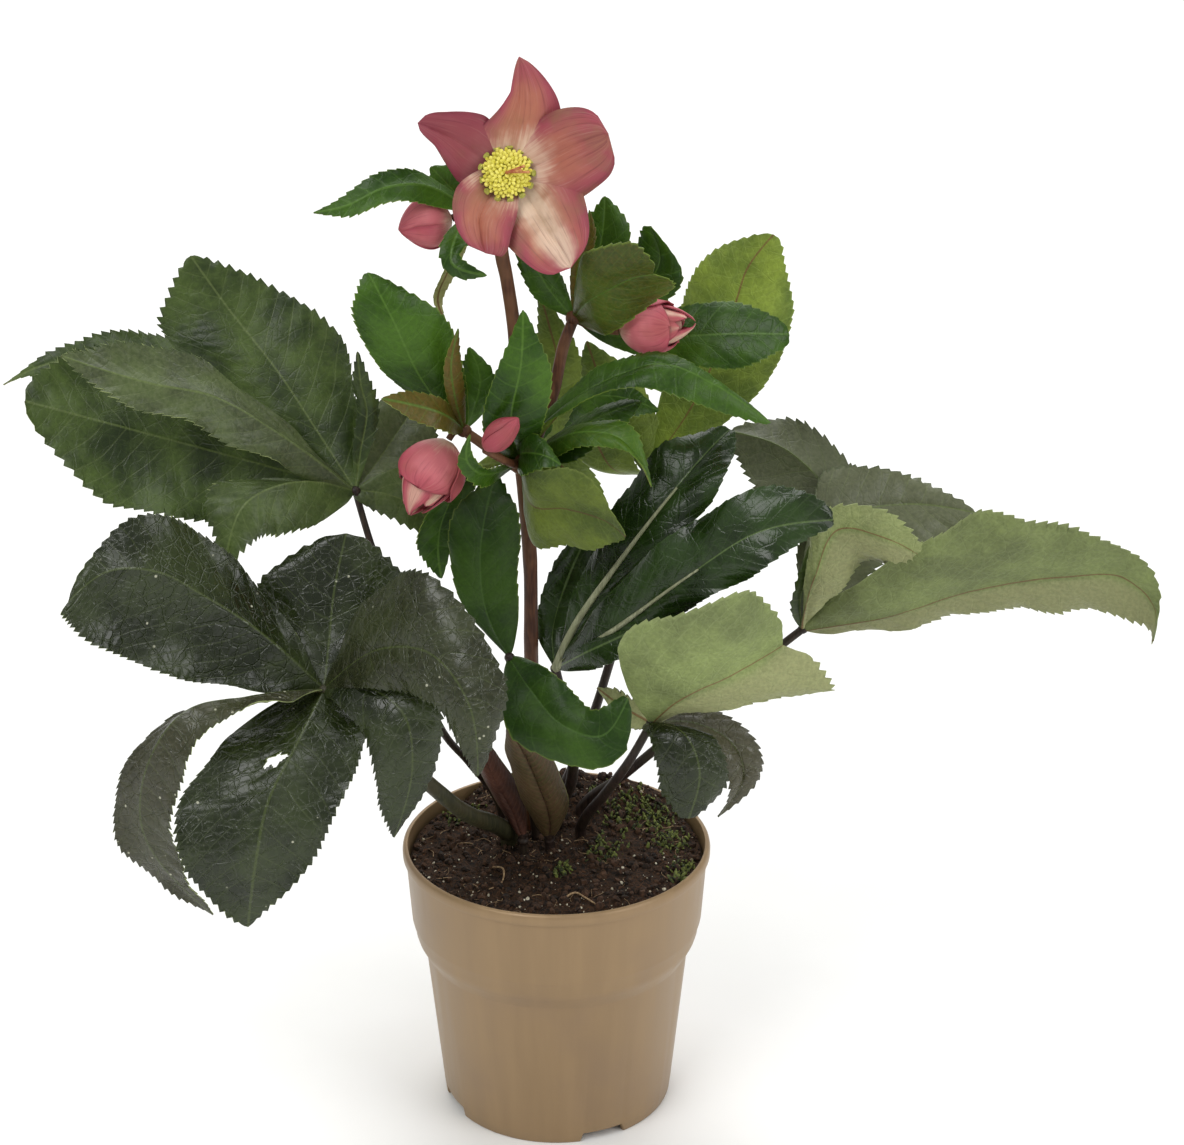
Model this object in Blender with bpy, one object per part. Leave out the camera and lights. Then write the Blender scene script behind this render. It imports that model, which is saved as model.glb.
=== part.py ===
"""Potted hellebore in flower: a filled nursery pot, palmate basal leaves, a leafy flowering stem, one open
bloom and five buds. Lengths are in millimetres until a mesh is made, then metres. The pot stands on z = 0
with its centre on the Z axis, and the side shown in the photograph faces -Y."""

import bisect
import math
import random
from dataclasses import dataclass

import bpy
from mathutils import Vector

# Driving dimensions, mm
POT_HEIGHT = 119.4
RIM_RADIUS = 65.0
BASE_RADIUS = 48.8
WALL = 1.3
COLLAR_HEIGHT = 83.0
SOIL_LEVEL = 114.5
SOIL_RADIUS = 61.5
FOOT_HEIGHT = 105.0
BLADE_THICKNESS = 0.9
GAP = 0.4
STEM_RADIUS = 3.1

MM = 0.001
SEED = 11


@dataclass(frozen=True)
class Leaflet:
    """A blade grown from its whorl's hub along a midrib. left and right reach from the midrib to the blade's
    edge where it is widest, at the share `widest` of its length, and left_tip and right_tip at `turned`."""
    rib: tuple
    left: tuple
    right: tuple
    rise: float = 0.9
    fall: float = 0.7
    widest: float = 0.55
    left_tip: tuple = None
    right_tip: tuple = None
    turned: float = 0.75
    rows: int = 6


@dataclass(frozen=True)
class Stalk:
    """A round stalk through points, with the radius at its first and last. A rooted one runs on from its last
    point straight down to its foot in the soil."""
    points: tuple
    start: float
    end: float
    rooted: bool = False


# Basal leaves: hub, petiole and leaflets
LEAF_A = ((-80, 0, 278), (
    Leaflet(((-95, 10, 299), (-111, 20, 321), (-132, 32, 345), (-146, 36, 365)), (-32, 4, 1), (25, 12, 12),
            1.0, 0.75, 0.5, (-35, 0, -5), (16, 7, 13), 0.78, rows=10),
    Leaflet(((-110, -14, 309), (-132, -20, 325), (-156, -24, 332), (-189, -26, 344)), (-14, 10, 16), (-12, -10, -6),
            0.9, 0.8, 0.53, rows=10),
    Leaflet(((-122, 4, 289), (-166, 6, 301), (-211, 6, 314)), (-6, 16, 29), (-1, -16, -28),
            0.9, 0.5, 0.64, rows=10),
    Leaflet(((-104, -22, 290), (-121, -34, 285), (-129, -40, 259)), (-23, 2, 1), (2, -8, -18), 0.9, 1.0, 0.5,
            (-13, 3, -4), (13, -4, -7), 0.8, rows=10),
    Leaflet(((-122, 26, 296), (-166, 42, 314), (-204, 48, 316), (-228, 48, 306)), (-4, 16, 15), (2, -13, -15),
            0.9, 1.3, 0.66, rows=10),
    Leaflet(((-72, 14, 285), (-63, 24, 296), (-53, 30, 309)), (-15, -1, 7), (14, -3, -7), 0.7, 0.5, rows=7),
    Leaflet(((-67, 1, 276), (-56, 6, 268), (-49, 8, 255)), (9, 4, 12), (-8, -3, -5), 0.6, 0.6),
    Leaflet(((-78, 5, 292), (-75, 8, 309), (-77, 8, 320), (-78, 8, 334)), (-4, 0, 1), (5, 0, 1)),
))
PETIOLE_A = Stalk(((-80, 0, 278), (-74, -4, 256), (-60, -6, 210), (-47, 2, 169), (-37, 12, 150), (-27, 22, 130),
                   (-24, 25, 120)), 1.4, 1.7, True)

LEAF_B = ((-90, -57, 217), (
    Leaflet(((-114, -60, 243), (-134, -66, 261), (-149, -72, 273), (-167, -80, 277), (-182, -86, 267)),
            (1, 20, 16), (-19, -16, -26), 0.9, 0.55, 0.62, rows=10),
    Leaflet(((-117, -76, 223), (-141, -86, 221), (-156, -90, 200), (-159, -88, 169), (-135, -82, 130)),
            (-12, 6, -9), (14, -6, -1), 0.8, 0.8, 0.5, rows=10),
    Leaflet(((-99, -85, 206), (-109, -98, 189), (-114, -104, 167), (-119, -100, 135)),
            (-36, 0, -5), (29, 8, -1), 0.55, 0.75, 0.42, rows=10),
    Leaflet(((-64, -80, 245), (-44, -98, 250), (-31, -110, 236), (-28, -112, 207)), (2, 12, 27), (-3, -4, -17),
            0.7, 0.6, 0.54, (17, 6, 7), (-8, 2, -15), rows=10),
    Leaflet(((-89, -40, 230), (-87, -32, 248), (-82, -26, 270)), (-31, 0, -3), (27, 2, -4), 0.9, 0.4, 0.69,
            rows=10),
    Leaflet(((-70, -76, 226), (-57, -86, 220), (-54, -90, 200), (-62, -88, 168)), (12, 5, 6), (-15, 1, -11),
            0.9, 0.8, 0.53, rows=10),
))
PETIOLE_B = Stalk(((-90, -57, 217), (-79, -62, 209), (-69, -60, 196), (-51, -44, 169), (-37, -26, 146),
                   (-24, -4, 128), (-20, 4, 120)), 2.3, 4.0, True)

LEAF_C = ((103, 22, 207), (
    Leaflet(((134, 10, 218), (172, 0, 235), (204, -6, 243), (228, -10, 245), (242, -14, 233), (242, -16, 219)),
            (-3, -19, 42), (6, 6, -12), 0.7, 0.5, 0.45, (2, -9, 16), (-4, 9, -23), 0.8, rows=12),
    Leaflet(((112, 40, 226), (123, 52, 245), (148, 60, 248), (178, 60, 244)), (-10, 10, 20), (19, -6, -17),
            1.0, 0.6, 0.45, (-3, 8, 11), (7, -9, -16), rows=10),
    Leaflet(((111, 46, 226), (117, 58, 248), (99, 70, 268), (74, 76, 275)), (16, 9, 8), (-17, -3, 2),
            1.2, 0.6, 0.45, (5, 15, 9), (-17, -5, -13), 0.72, rows=10),
    Leaflet(((106, 4, 239), (114, -2, 262), (133, -8, 261), (152, -8, 250)), (-5, -1, 14), (13, 7, -18),
            1.4, 0.7, 0.5, (7, -3, 9), (12, 8, -20), rows=10),
    Leaflet(((101, 16, 223), (103, 14, 235), (104, 14, 248)), (-4, 0, -3), (7, 0, -1)),
))
PETIOLE_C = Stalk(((103, 22, 207), (96, 22, 201), (77, 20, 185), (52, 17, 163), (27, 19, 139), (15, 25, 127),
                   (10, 27, 120)), 1.7, 2.2, True)

LEAF_D = ((39, -28, 188), (
    Leaflet(((51, -40, 205), (71, -44, 218), (90, -40, 228)), (-27, -18, 45), (10, 7, -7), 0.5, 0.3, 0.2,
            (1, -15, 40), (38, 10, -15), rows=10),
    Leaflet(((28, -18, 190), (17, -10, 195)), (2, 2, 4), (3, -8, -5)),
    Leaflet(((52, -42, 190), (58, -48, 177), (54, -48, 155)), (12, 2, -1), (-17, 4, -3), 0.7, 0.5, 0.58, rows=10),
    Leaflet(((57, -20, 184), (72, -18, 174), (77, -20, 160), (67, -24, 143)), (4, 6, 6), (-3, -7, -7),
            0.7, 0.8, 0.25, (10, 3, 0), (-7, -7, 0), 0.6, rows=10),
))
PETIOLE_D = Stalk(((39, -28, 188), (31, -26, 171), (21, -12, 148), (13, 2, 130), (10, 9, 120)), 1.7, 2.4, True)

LEAF_E = ((-18, -34, 220), (
    Leaflet(((-9, -50, 213), (3, -62, 204), (19, -68, 202), (29, -66, 217)), (6, 8, 12), (-17, -2, -10),
            0.8, 0.5, 0.45, (-6, 7, 8), (7, -4, -14), 0.85, rows=10),
    Leaflet(((-27, -30, 238), (-29, -28, 264), (-23, -20, 293)), (-13, 1, 7), (16, 1, 5), 0.8, 0.7, 0.53, rows=10),
))
PETIOLE_E = Stalk(((-18, -34, 220), (-17, -23, 196), (-14, -8, 165), (-11, 3, 138), (-9, 8, 120)), 1.5, 1.8, True)

LEAF_F = ((0, -10, 204), (
    Leaflet(((8, -12, 224), (22, -16, 248), (42, -14, 276), (61, -6, 297), (70, 0, 304)), (-8, 12, 12), (19, -6, 5),
            1.2, 0.6, 0.67, rows=10),
    Leaflet(((26, -30, 232), (53, -42, 259), (80, -48, 280), (108, -46, 284)), (2, 4, 24), (16, -8, 1),
            0.7, 0.5, 0.45, (9, 8, 21), (11, -7, -9), rows=10),
    Leaflet(((-1, 2, 216), (5, 5, 237), (17, 10, 263)), (-9, -1, 0), (10, -3, -3), widest=0.56),
    Leaflet(((14, -28, 220), (30, -34, 231), (45, -36, 242)), (-2, 4, 1), (5, -4, -6), widest=0.56),
))
PETIOLE_F = Stalk(((0, -10, 204), (3, -8, 189), (7, 0, 166), (6, 8, 142), (1, 14, 127), (0, 16, 120)), 2.0, 2.6, True)

LEAF_K = ((37, 50, 266), (
    Leaflet(((56, 50, 295), (67, 48, 321), (74, 45, 344), (78, 45, 357), (88, 42, 372)), (-18, 6, 10), (24, -6, -6),
            1.0, 0.6, 0.62, rows=10),
    Leaflet(((32, 50, 281), (22, 46, 300), (13, 42, 327)), (-10, 2, 0), (17, 2, 0), widest=0.56, rows=8),
    Leaflet(((24, 40, 272), (16, 34, 288), (10, 30, 308)), (-12, 0, 0), (12, -2, 1), 0.7, 0.6),
))
PETIOLE_K = Stalk(((37, 50, 266), (34, 42, 230), (23, 38, 186), (12, 37, 149), (3, 36, 127), (0, 36, 120)), 1.6, 2.2,
                  True)

# Flowering stem: its stalks, sheath scales and the whorls of bracts
MAIN_STEM = Stalk(((-17.1, -20.4, 414.5), (-17.2, -17.2, 413.2), (-19, -12, 402), (-20, -8, 381), (-18, -8, 369),
                   (-15, -8, 344), (-15, -10, 324), (-14, -12, 304), (-12, -12, 283), (-10, -8, 251),
                   (-10, -4, 214), (-10, 4, 175), (-10, 12, 139), (-10, 18, 120)), 2.6, STEM_RADIUS, True)
SIDE_STALKS = (
    Stalk(((-12, -13, 290), (-5, -10, 310), (0, -8, 324), (4, -6, 342), (8, -4, 352)), 2.6, 2.2),
    Stalk(((8, -4, 352), (16, -6, 349), (25.6, -8, 348)), 1.6, 1.6),
    Stalk(((-13, -13, 292), (-24, -18, 302), (-35, -20, 311)), 2.4, 1.9),
    Stalk(((-35, -20, 311), (-38.6, -22.9, 311.8), (-40.8, -24.8, 309.3)), 1.6, 1.3),
    Stalk(((-20, -8, 381), (-25, -8, 390), (-30, -7, 395), (-38.6, -6, 393)), 2.0, 1.5),
    Stalk(((-13, -13, 298), (-15, -30, 301), (-20, -40, 307), (-26.1, -45.7, 312.8)), 2.0, 1.3),
)

# Sheath scales at the foot: hub, foot and blade
SHEATH_FRONT = ((-3, -3, 121), (
    Leaflet(((-3, -8, 135), (-7, -14, 152), (-13, -21, 171), (-19, -24, 184)), (-11, 3, 4), (9, 5, 3), 0.5, 0.6,
            0.45, rows=8),
))
SHEATH_FRONT_FOOT = Stalk(((-3, -4, 124), (-3, -3, 119)), 2.0, 2.0, True)
SHEATH_LEFT = ((-14, -4, 121), (
    Leaflet(((-19, -4, 136), (-25, -7, 150), (-29, -12, 164), (-31, -12, 177)), (-7, 4, 4), (5, 6, 4), 0.5, 0.8,
            0.4, rows=8),
))
SHEATH_LEFT_FOOT = Stalk(((-14, -4, 124), (-14, -4, 119)), 1.7, 1.7, True)

BRACTS_MIDDLE = ((-13, -13, 296), (
    Leaflet(((-16, -38, 324), (-12, -42, 346), (-11, -40, 367)), (-12, 3, -7), (13, 3, -4), rows=8),
    Leaflet(((-23, -34, 299), (-29, -44, 303), (-33, -48, 310), (-31.5, -48, 320)), (2, -1, 3), (-3, -1, -5),
            0.8, 0.7, 0.5, (4, -1, 2), (-5, -1, -1), 0.8),
    Leaflet(((-11, -34, 307), (-3, -42, 309), (3, -44, 306)), (1, 5, 7), (-1, -5, -7)),
    Leaflet(((10, -30, 314), (25, -38, 315), (33, -42, 307), (38, -44, 297)), (6, 4, 4), (3, -6, -4), 0.7, 0.9,
            0.44, rows=8),
    Leaflet(((-8, -28, 283), (5, -38, 286), (21, -46, 284), (28, -50, 279)), (-1, -10, 21), (1, 6, -20), 0.6, 0.6,
            0.5, rows=8),
    Leaflet(((-5, -21, 310), (8, -22, 325), (26, -25, 336), (43, -30, 342), (62, -31, 334), (84, -30, 318)),
            (-3, 7, 3), (-9, -6, -7), 0.7, 0.5, 0.58, rows=8),
    Leaflet(((2, -18, 306), (18, -17, 316), (34, -17, 322)), (4, 7, 4), (5, -9, -6)),
    Leaflet(((-3, 4, 303), (8, 16, 310), (23, 20, 311), (42, 20, 305)), (1, 5, 8), (4, -5, -10), 0.8, 0.7),
    Leaflet(((1, -16, 296), (11, -21, 285), (19, -25, 270)), (8, 5, 1), (-7, -5, -7), 0.8, 0.7),
    Leaflet(((-4, 8, 305), (1, 18, 326), (-2, 20, 341), (-6, 20, 356)), (-7, 2, -1), (10, -2, -2)),
    Leaflet(((-33, -4, 288), (-44, -5, 270), (-47, -4, 256), (-46, -3, 241)), (-10, 0, -6), (11, 0, 8)),
))
BRACTS_LEFT = ((-35, -20, 311), (
    Leaflet(((-50, -26, 333), (-61, -32, 361), (-70, -28, 378)), (-17, 2, 3), (19, 8, 1), 0.9, 0.65, 0.58, rows=10),
    Leaflet(((-38, -31, 330), (-39, -33, 343), (-36, -32, 357)), (-3, -1, 0), (4, 3, 0)),
    Leaflet(((-43, -38, 325), (-54, -42, 330), (-65, -44, 333)), (-2, 5, 5), (0, -3, -6)),
    Leaflet(((-31, -10, 318), (-29, -6, 328), (-33, -4, 340)), (-7, 1, 2), (6, 1, 0)),
))
BRACTS_RIGHT = ((8, -4, 352), (
    Leaflet(((15, -22, 366), (25, -30, 374), (31, -34, 378), (38, -36, 380)), (-1, -17, 27), (9, 3, -14), 0.5, 0.35,
            0.35, (5, -14, 20), (22, 6, -5), 0.8, rows=8),
    Leaflet(((15, 8, 367), (19, 10, 381), (20, 10, 397)), (-8, 0, 3), (12, 0, 1)),
    Leaflet(((10, -2, 374), (13, -2, 383), (14, -2, 395)), (-3, 0, -1), (4, 0, 1)),
    Leaflet(((34, 18, 356), (42, 20, 368), (38, 20, 382)), (-11, 2, 3), (9, -4, -6), 0.9, 0.4, 0.69),
    Leaflet(((-1, -4, 363), (-8, -6, 375), (-15, -6, 384)), (-5, 1, -5), (6, 1, 3)),
    Leaflet(((18, 8, 342), (34, 10, 339), (54, 4, 342), (73, -2, 345), (92, -6, 346)), (0, 10, 11), (4, -8, -12),
            1.4, 0.45, 0.76, rows=8),
))
BRACTS_TOP = ((-31, -7, 396), (
    Leaflet(((-48, -14, 408), (-63, -20, 409), (-78, -24, 403), (-90, -26, 401)), (-3, 4, 5), (-1, -4, -6), 0.7,
            0.8, 0.47, rows=9),
    Leaflet(((-37, -20, 389), (-38, -26, 381), (-25, -28, 377)), (-6, 1, -2), (8, 1, 1), 0.9, 0.7, 0.45,
            (0, 1, -5), (0, 1, 5), 0.8),
    Leaflet(((-38, 0, 402), (-47, 2, 411)), (-5, 0, -1), (5, 0, 6)),
    Leaflet(((-34, -13, 387), (-41, -11, 373), (-45, -8, 361), (-42, -8, 352)), (-2, -1, -1), (3, 1, -1)),
))

# Bloom: centre, the direction it faces, and its five sepals
BLOOM_CENTRE = (-17, -26, 416)
BLOOM_FACING = (0.03, -0.94, 0.33)
SEPALS = (
    Leaflet(((-15, -26, 428), (-12, -26, 444), (-12, -24, 460)), (-12, 3, 1), (17, 4, -1), 0.42, 0.7, 0.38,
            (-5, 0, 0), (18, 2, -2), 0.72),
    Leaflet(((-5, -27, 420), (8, -32, 428), (21, -36, 434)), (-5, 2, 15), (9, 1, -16), 0.6, 0.4, 0.6),
    Leaflet(((-9, -28, 407), (0, -37, 395), (7, -41, 384)), (14, 4, 12), (-13, 0, -9), 0.5, 0.42, 0.55),
    Leaflet(((-22, -29, 410), (-27, -35, 401), (-25, -38, 389)), (11, -2, -6), (-10, 2, 6), 0.45, 0.32, 0.5,
            (12, -4, -3), (-9, 0, 3), 0.8),
    Leaflet(((-26, -26, 422), (-38, -26, 430), (-50, -24, 435)), (-4, 3, -12), (6, 4, 12), 0.5, 0.5, 0.45,
            (-1, 0, -6), (5, 1, 10), 0.8),
)

# Buds: base, tip, widest radius and how far the sepals' tips stand open, 0 to 1
BUDS = {
    "bud_top_left": ((-39, -6, 393), (-60, -11, 389), 9.8, 0.0),
    "bud_lower_left": ((-41, -25, 309), (-56, -36, 282), 13.0, 0.35),
    "bud_front": ((-26, -46, 313.5), (-13, -51, 327.5), 5.3, 0.0),
    "bud_right": ((26, -8, 348), (55, -15, 354), 10.5, 0.3),
}


# Points and curves
def spline(points, count):
    """Evenly spaced points of a smooth curve through the given ones, with its total length."""
    pts = [Vector(p) for p in points]
    if len(pts) == 2:
        pts.insert(1, (pts[0] + pts[1]) / 2)
    knots = [0.0]
    for a, b in zip(pts, pts[1:]):
        knots.append(knots[-1] + math.sqrt((b - a).length))
    steps = [(b - a) / (tb - ta) for a, b, ta, tb in zip(pts, pts[1:], knots, knots[1:])]
    slopes = [None] * len(pts)
    for k in range(1, len(pts) - 1):
        before, after = knots[k] - knots[k - 1], knots[k + 1] - knots[k]
        slopes[k] = (steps[k - 1] * after + steps[k] * before) / (before + after)
    slopes[0] = 1.5 * steps[0] - 0.5 * slopes[1]
    slopes[-1] = 1.5 * steps[-1] - 0.5 * slopes[-2]
    fine = []
    for k in range(len(pts) - 1):
        h = knots[k + 1] - knots[k]
        for i in range(40):
            t = i / 40
            fine.append((2 * t**3 - 3 * t**2 + 1) * pts[k] + (t**3 - 2 * t**2 + t) * h * slopes[k]
                        + (3 * t**2 - 2 * t**3) * pts[k + 1] + (t**3 - t**2) * h * slopes[k + 1])
    fine.append(pts[-1])
    run = [0.0]
    for a, b in zip(fine, fine[1:]):
        run.append(run[-1] + (b - a).length)
    out = []
    for i in range(count + 1):
        want = run[-1] * i / count
        k = min(max(bisect.bisect_right(run, want) - 1, 0), len(fine) - 2)
        share = (want - run[k]) / max(run[k + 1] - run[k], 1e-9)
        out.append(fine[k].lerp(fine[k + 1], min(share, 1.0)))
    return out, run[-1]


def fullness(s, rise, fall):
    """Blade width at the share s of its length, 1 where it is widest."""
    peak = rise / (rise + fall)
    return max(s, 0.0) ** rise * max(1 - s, 0.0) ** fall / (peak ** rise * (1 - peak) ** fall)


# Meshes
def clear_scene():
    """Remove every object the start-up file brought."""
    for obj in list(bpy.data.objects):
        bpy.data.objects.remove(obj, do_unlink=True)


def finish(name, colour, roughness):
    """A Principled material from a linear colour."""
    mat = bpy.data.materials.new(name)
    mat.use_nodes = True
    bsdf = mat.node_tree.nodes["Principled BSDF"]
    bsdf.inputs["Base Color"].default_value = (*colour, 1)
    bsdf.inputs["Roughness"].default_value = roughness
    return mat


def make_object(name, verts, faces, mat=None):
    """A mesh object from points in millimetres."""
    mesh = bpy.data.meshes.new(name)
    mesh.from_pydata([Vector(v) * MM for v in verts], [], faces)
    mesh.update()
    if mat:
        mesh.materials.append(mat)
    obj = bpy.data.objects.new(name, mesh)
    bpy.context.collection.objects.link(obj)
    return obj


def blade(leaf, hub, teeth=0.0, columns=1, bulge=0.0, extra=0.0):
    """A thin closed blade: triangles alike on both faces and a rim, notched by teeth along its edges."""
    rib, length = spline((hub,) + tuple(leaf.rib), leaf.rows)
    left, right = Vector(leaf.left), Vector(leaf.right)
    left_tip, right_tip = Vector(leaf.left_tip or leaf.left), Vector(leaf.right_tip or leaf.right)
    across = [v / columns for v in range(-columns, columns + 1)]
    top, bottom = [], []
    for i, centre in enumerate(rib):
        s = i / leaf.rows
        turn = min(max((s - leaf.widest) / (leaf.turned - leaf.widest), 0.0), 1.0)
        sides = (left.lerp(left_tip, turn), right.lerp(right_tip, turn))
        width = fullness(s, leaf.rise, leaf.fall)
        if 0.15 < s < 0.98:
            width *= 1 + (teeth if i % 2 else -teeth)
        along = (rib[min(i + 1, leaf.rows)] - rib[max(i - 1, 0)]).normalized()
        faced = (sides[1] - sides[0]).cross(along).normalized()
        for v in across:
            side = sides[0] if v < 0 else sides[1]
            reach = max(width, 1.1 / side.length)
            outward = side.normalized() if v >= 0 else -side.normalized()
            normal = faced if v == 0 else outward.cross(along).normalized()
            if normal.dot(faced) < 0.3:
                normal = faced
            lift = faced * bulge * side.length * width * 4 * abs(v) * (1 - abs(v))
            point = centre + side * reach * abs(v) + lift
            top.append(point + normal * (BLADE_THICKNESS / 2 + extra))
            bottom.append(point - normal * (BLADE_THICKNESS / 2 + extra))
    wide, rows = len(across), leaf.rows
    shift = len(top)
    faces = []
    for i in range(rows):
        for j in range(wide - 1):
            a, b, c, d = i * wide + j, i * wide + j + 1, (i + 1) * wide + j + 1, (i + 1) * wide + j
            faces += [(a, b, c), (a, c, d), (shift + c, shift + b, shift + a), (shift + d, shift + c, shift + a)]
        for a, b in ((i * wide, (i + 1) * wide), ((i + 2) * wide - 1, (i + 1) * wide - 1)):
            faces += [(a, b, shift + b), (a, shift + b, shift + a)]
    last = rows * wide
    for j in range(wide - 1):
        faces += [(j + 1, j, shift + j), (j + 1, shift + j, shift + j + 1)]
        faces += [(last + j, last + j + 1, shift + last + j + 1), (last + j, shift + last + j + 1, shift + last + j)]
    return top + bottom, faces


def tube(stalk, sides=7, spacing=14.0, extra=0.0):
    """A closed round tube along a stalk."""
    path, length = spline(stalk.points, max(2, round(spline(stalk.points, 4)[1] / spacing)))
    if stalk.rooted:
        path.append(Vector((path[-1].x, path[-1].y, FOOT_HEIGHT)))
    verts, faces = [], []
    ahead = (path[1] - path[0]).normalized()
    across = ahead.orthogonal().normalized()
    for i, centre in enumerate(path):
        ahead = (path[min(i + 1, len(path) - 1)] - path[max(i - 1, 0)]).normalized()
        if stalk.rooted and i >= len(path) - 2:
            ahead = Vector((0, 0, -1))
        across = (across - ahead * across.dot(ahead)).normalized()
        up = ahead.cross(across)
        radius = stalk.start + (stalk.end - stalk.start) * i / (len(path) - 1) + extra
        for k in range(sides):
            turn = 2 * math.pi * k / sides
            verts.append(centre + (across * math.cos(turn) + up * math.sin(turn)) * radius)
    for i in range(len(path) - 1):
        for k in range(sides):
            a, b = i * sides + k, i * sides + (k + 1) % sides
            faces.append((a, b, b + sides, a + sides))
    faces.append(tuple(range(sides))[::-1])
    faces.append(tuple(range((len(path) - 1) * sides, len(path) * sides)))
    return verts, faces


def ball(centre, radii, rings=4, sides=8):
    """A closed faceted ellipsoid with upright axis."""
    centre = Vector(centre)
    verts = [centre + Vector((0, 0, -radii[2]))]
    for i in range(1, rings):
        tilt = math.pi * i / rings
        for k in range(sides):
            turn = 2 * math.pi * (k + 0.5 * (i % 2)) / sides
            verts.append(centre + Vector((radii[0] * math.sin(tilt) * math.cos(turn),
                                          radii[1] * math.sin(tilt) * math.sin(turn), -radii[2] * math.cos(tilt))))
    verts.append(centre + Vector((0, 0, radii[2])))
    top = len(verts) - 1
    faces = []
    for k in range(sides):
        n = (k + 1) % sides
        faces.append((0, 1 + n, 1 + k))
        faces.append((top, top - sides + k, top - sides + n))
        for i in range(rings - 2):
            a = 1 + i * sides
            faces.append((a + k, a + n, a + sides + n, a + sides + k))
    return verts, faces


def combine(name, parts, mat, cut=(), solver="EXACT"):
    """One body from overlapping closed meshes, less any cutters."""
    base = make_object(name, *parts[0], mat)
    for operation, pieces in (("UNION", parts[1:]), ("DIFFERENCE", cut)):
        if not pieces:
            continue
        group = bpy.data.collections.new(name + "_pieces")
        for verts, faces in pieces:
            piece = make_object(name + "_piece", verts, faces, mat)
            bpy.context.collection.objects.unlink(piece)
            group.objects.link(piece)
        change = base.modifiers.new(operation.lower(), "BOOLEAN")
        change.operation, change.operand_type, change.collection = operation, "COLLECTION", group
        change.solver = solver
        shaped = bpy.data.meshes.new_from_object(base.evaluated_get(bpy.context.evaluated_depsgraph_get()))
        base.modifiers.remove(change)
        old, base.data = base.data, shaped
        bpy.data.meshes.remove(old)
        for piece in list(group.objects):
            bpy.data.objects.remove(piece, do_unlink=True)
        bpy.data.collections.remove(group)
    base.data.name = name
    return base


def lathe(profile, segments):
    """A closed solid turned about Z from a closed profile of (radius, height), the axis points first and last."""
    verts, faces = [], []
    inner = profile[1:-1]
    for radius, height in inner:
        for k in range(segments):
            turn = 2 * math.pi * k / segments
            verts.append((radius * math.cos(turn), radius * math.sin(turn), height))
    first, last = len(verts), len(verts) + 1
    verts += [(0, 0, profile[0][1]), (0, 0, profile[-1][1])]
    for k in range(segments):
        n = (k + 1) % segments
        faces.append((first, n, k))
        for i in range(len(inner) - 1):
            a = i * segments
            faces.append((a + k, a + n, a + segments + n, a + segments + k))
        a = (len(inner) - 1) * segments
        faces.append((last, a + k, a + n))
    return verts, faces


# Pot and fill
def pot(mat):
    """Tapered nursery pot: flat pad and foot ring with four notches, collar, beaded rim, ring of drain holes."""
    r, b, h, w, c = RIM_RADIUS, BASE_RADIUS, POT_HEIGHT, WALL, COLLAR_HEIGHT
    profile = ((0, 0), (34, 0), (36, 4.5), (b - 3.4, 4.5), (b - 2.6, 0), (b - 0.9, 0), (b, 1.2),
               (r - 9.0, c - 12), (r - 6.0, c - 7), (r - 4.8, c - 3.5), (r - 3.5, c + 2.5), (r - 1.3, h - 5.5),
               (r - 0.2, h - 4.6), (r, h - 2.2), (r - 0.7, h - 0.4), (r - 1.6, h), (r - 2.4, h - 0.8),
               (r - 1.3 - w, h - 6), (r - 3.5 - w, c + 2.5), (r - 6.2 - w, c - 6), (r - 9.2 - w, c - 11.5),
               (b - w, 8.5), (b - 3.5, 6.2), (35, 6.2), (32.5, 1.9), (0, 1.9))
    cutters = []
    for k in range(4):
        turn = math.radians(-66 + 90 * k)
        half = math.radians(11.5)
        corners = []
        for radius in (b - 6, b + 6):
            for side in (-half, half):
                corners.append((radius * math.cos(turn + side), radius * math.sin(turn + side)))
        low, high = [(x, y, -2) for x, y in corners], [(x, y, 4.2) for x, y in corners]
        cutters.append((low + high, [(0, 2, 3, 1), (4, 5, 7, 6), (0, 1, 5, 4), (2, 6, 7, 3), (0, 4, 6, 2), (1, 3, 7, 5)]))
    for k in range(8):
        turn = math.radians(45 * k + 22.5)
        x, y = 40.7 * math.cos(turn), 40.7 * math.sin(turn)
        cutters.append(tube(Stalk(((x, y, 2.5), (x, y, 8.5)), 3.6, 3.6), sides=8, spacing=4))
    return combine("pot", [lathe(profile, 30)], mat, cutters)


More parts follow.
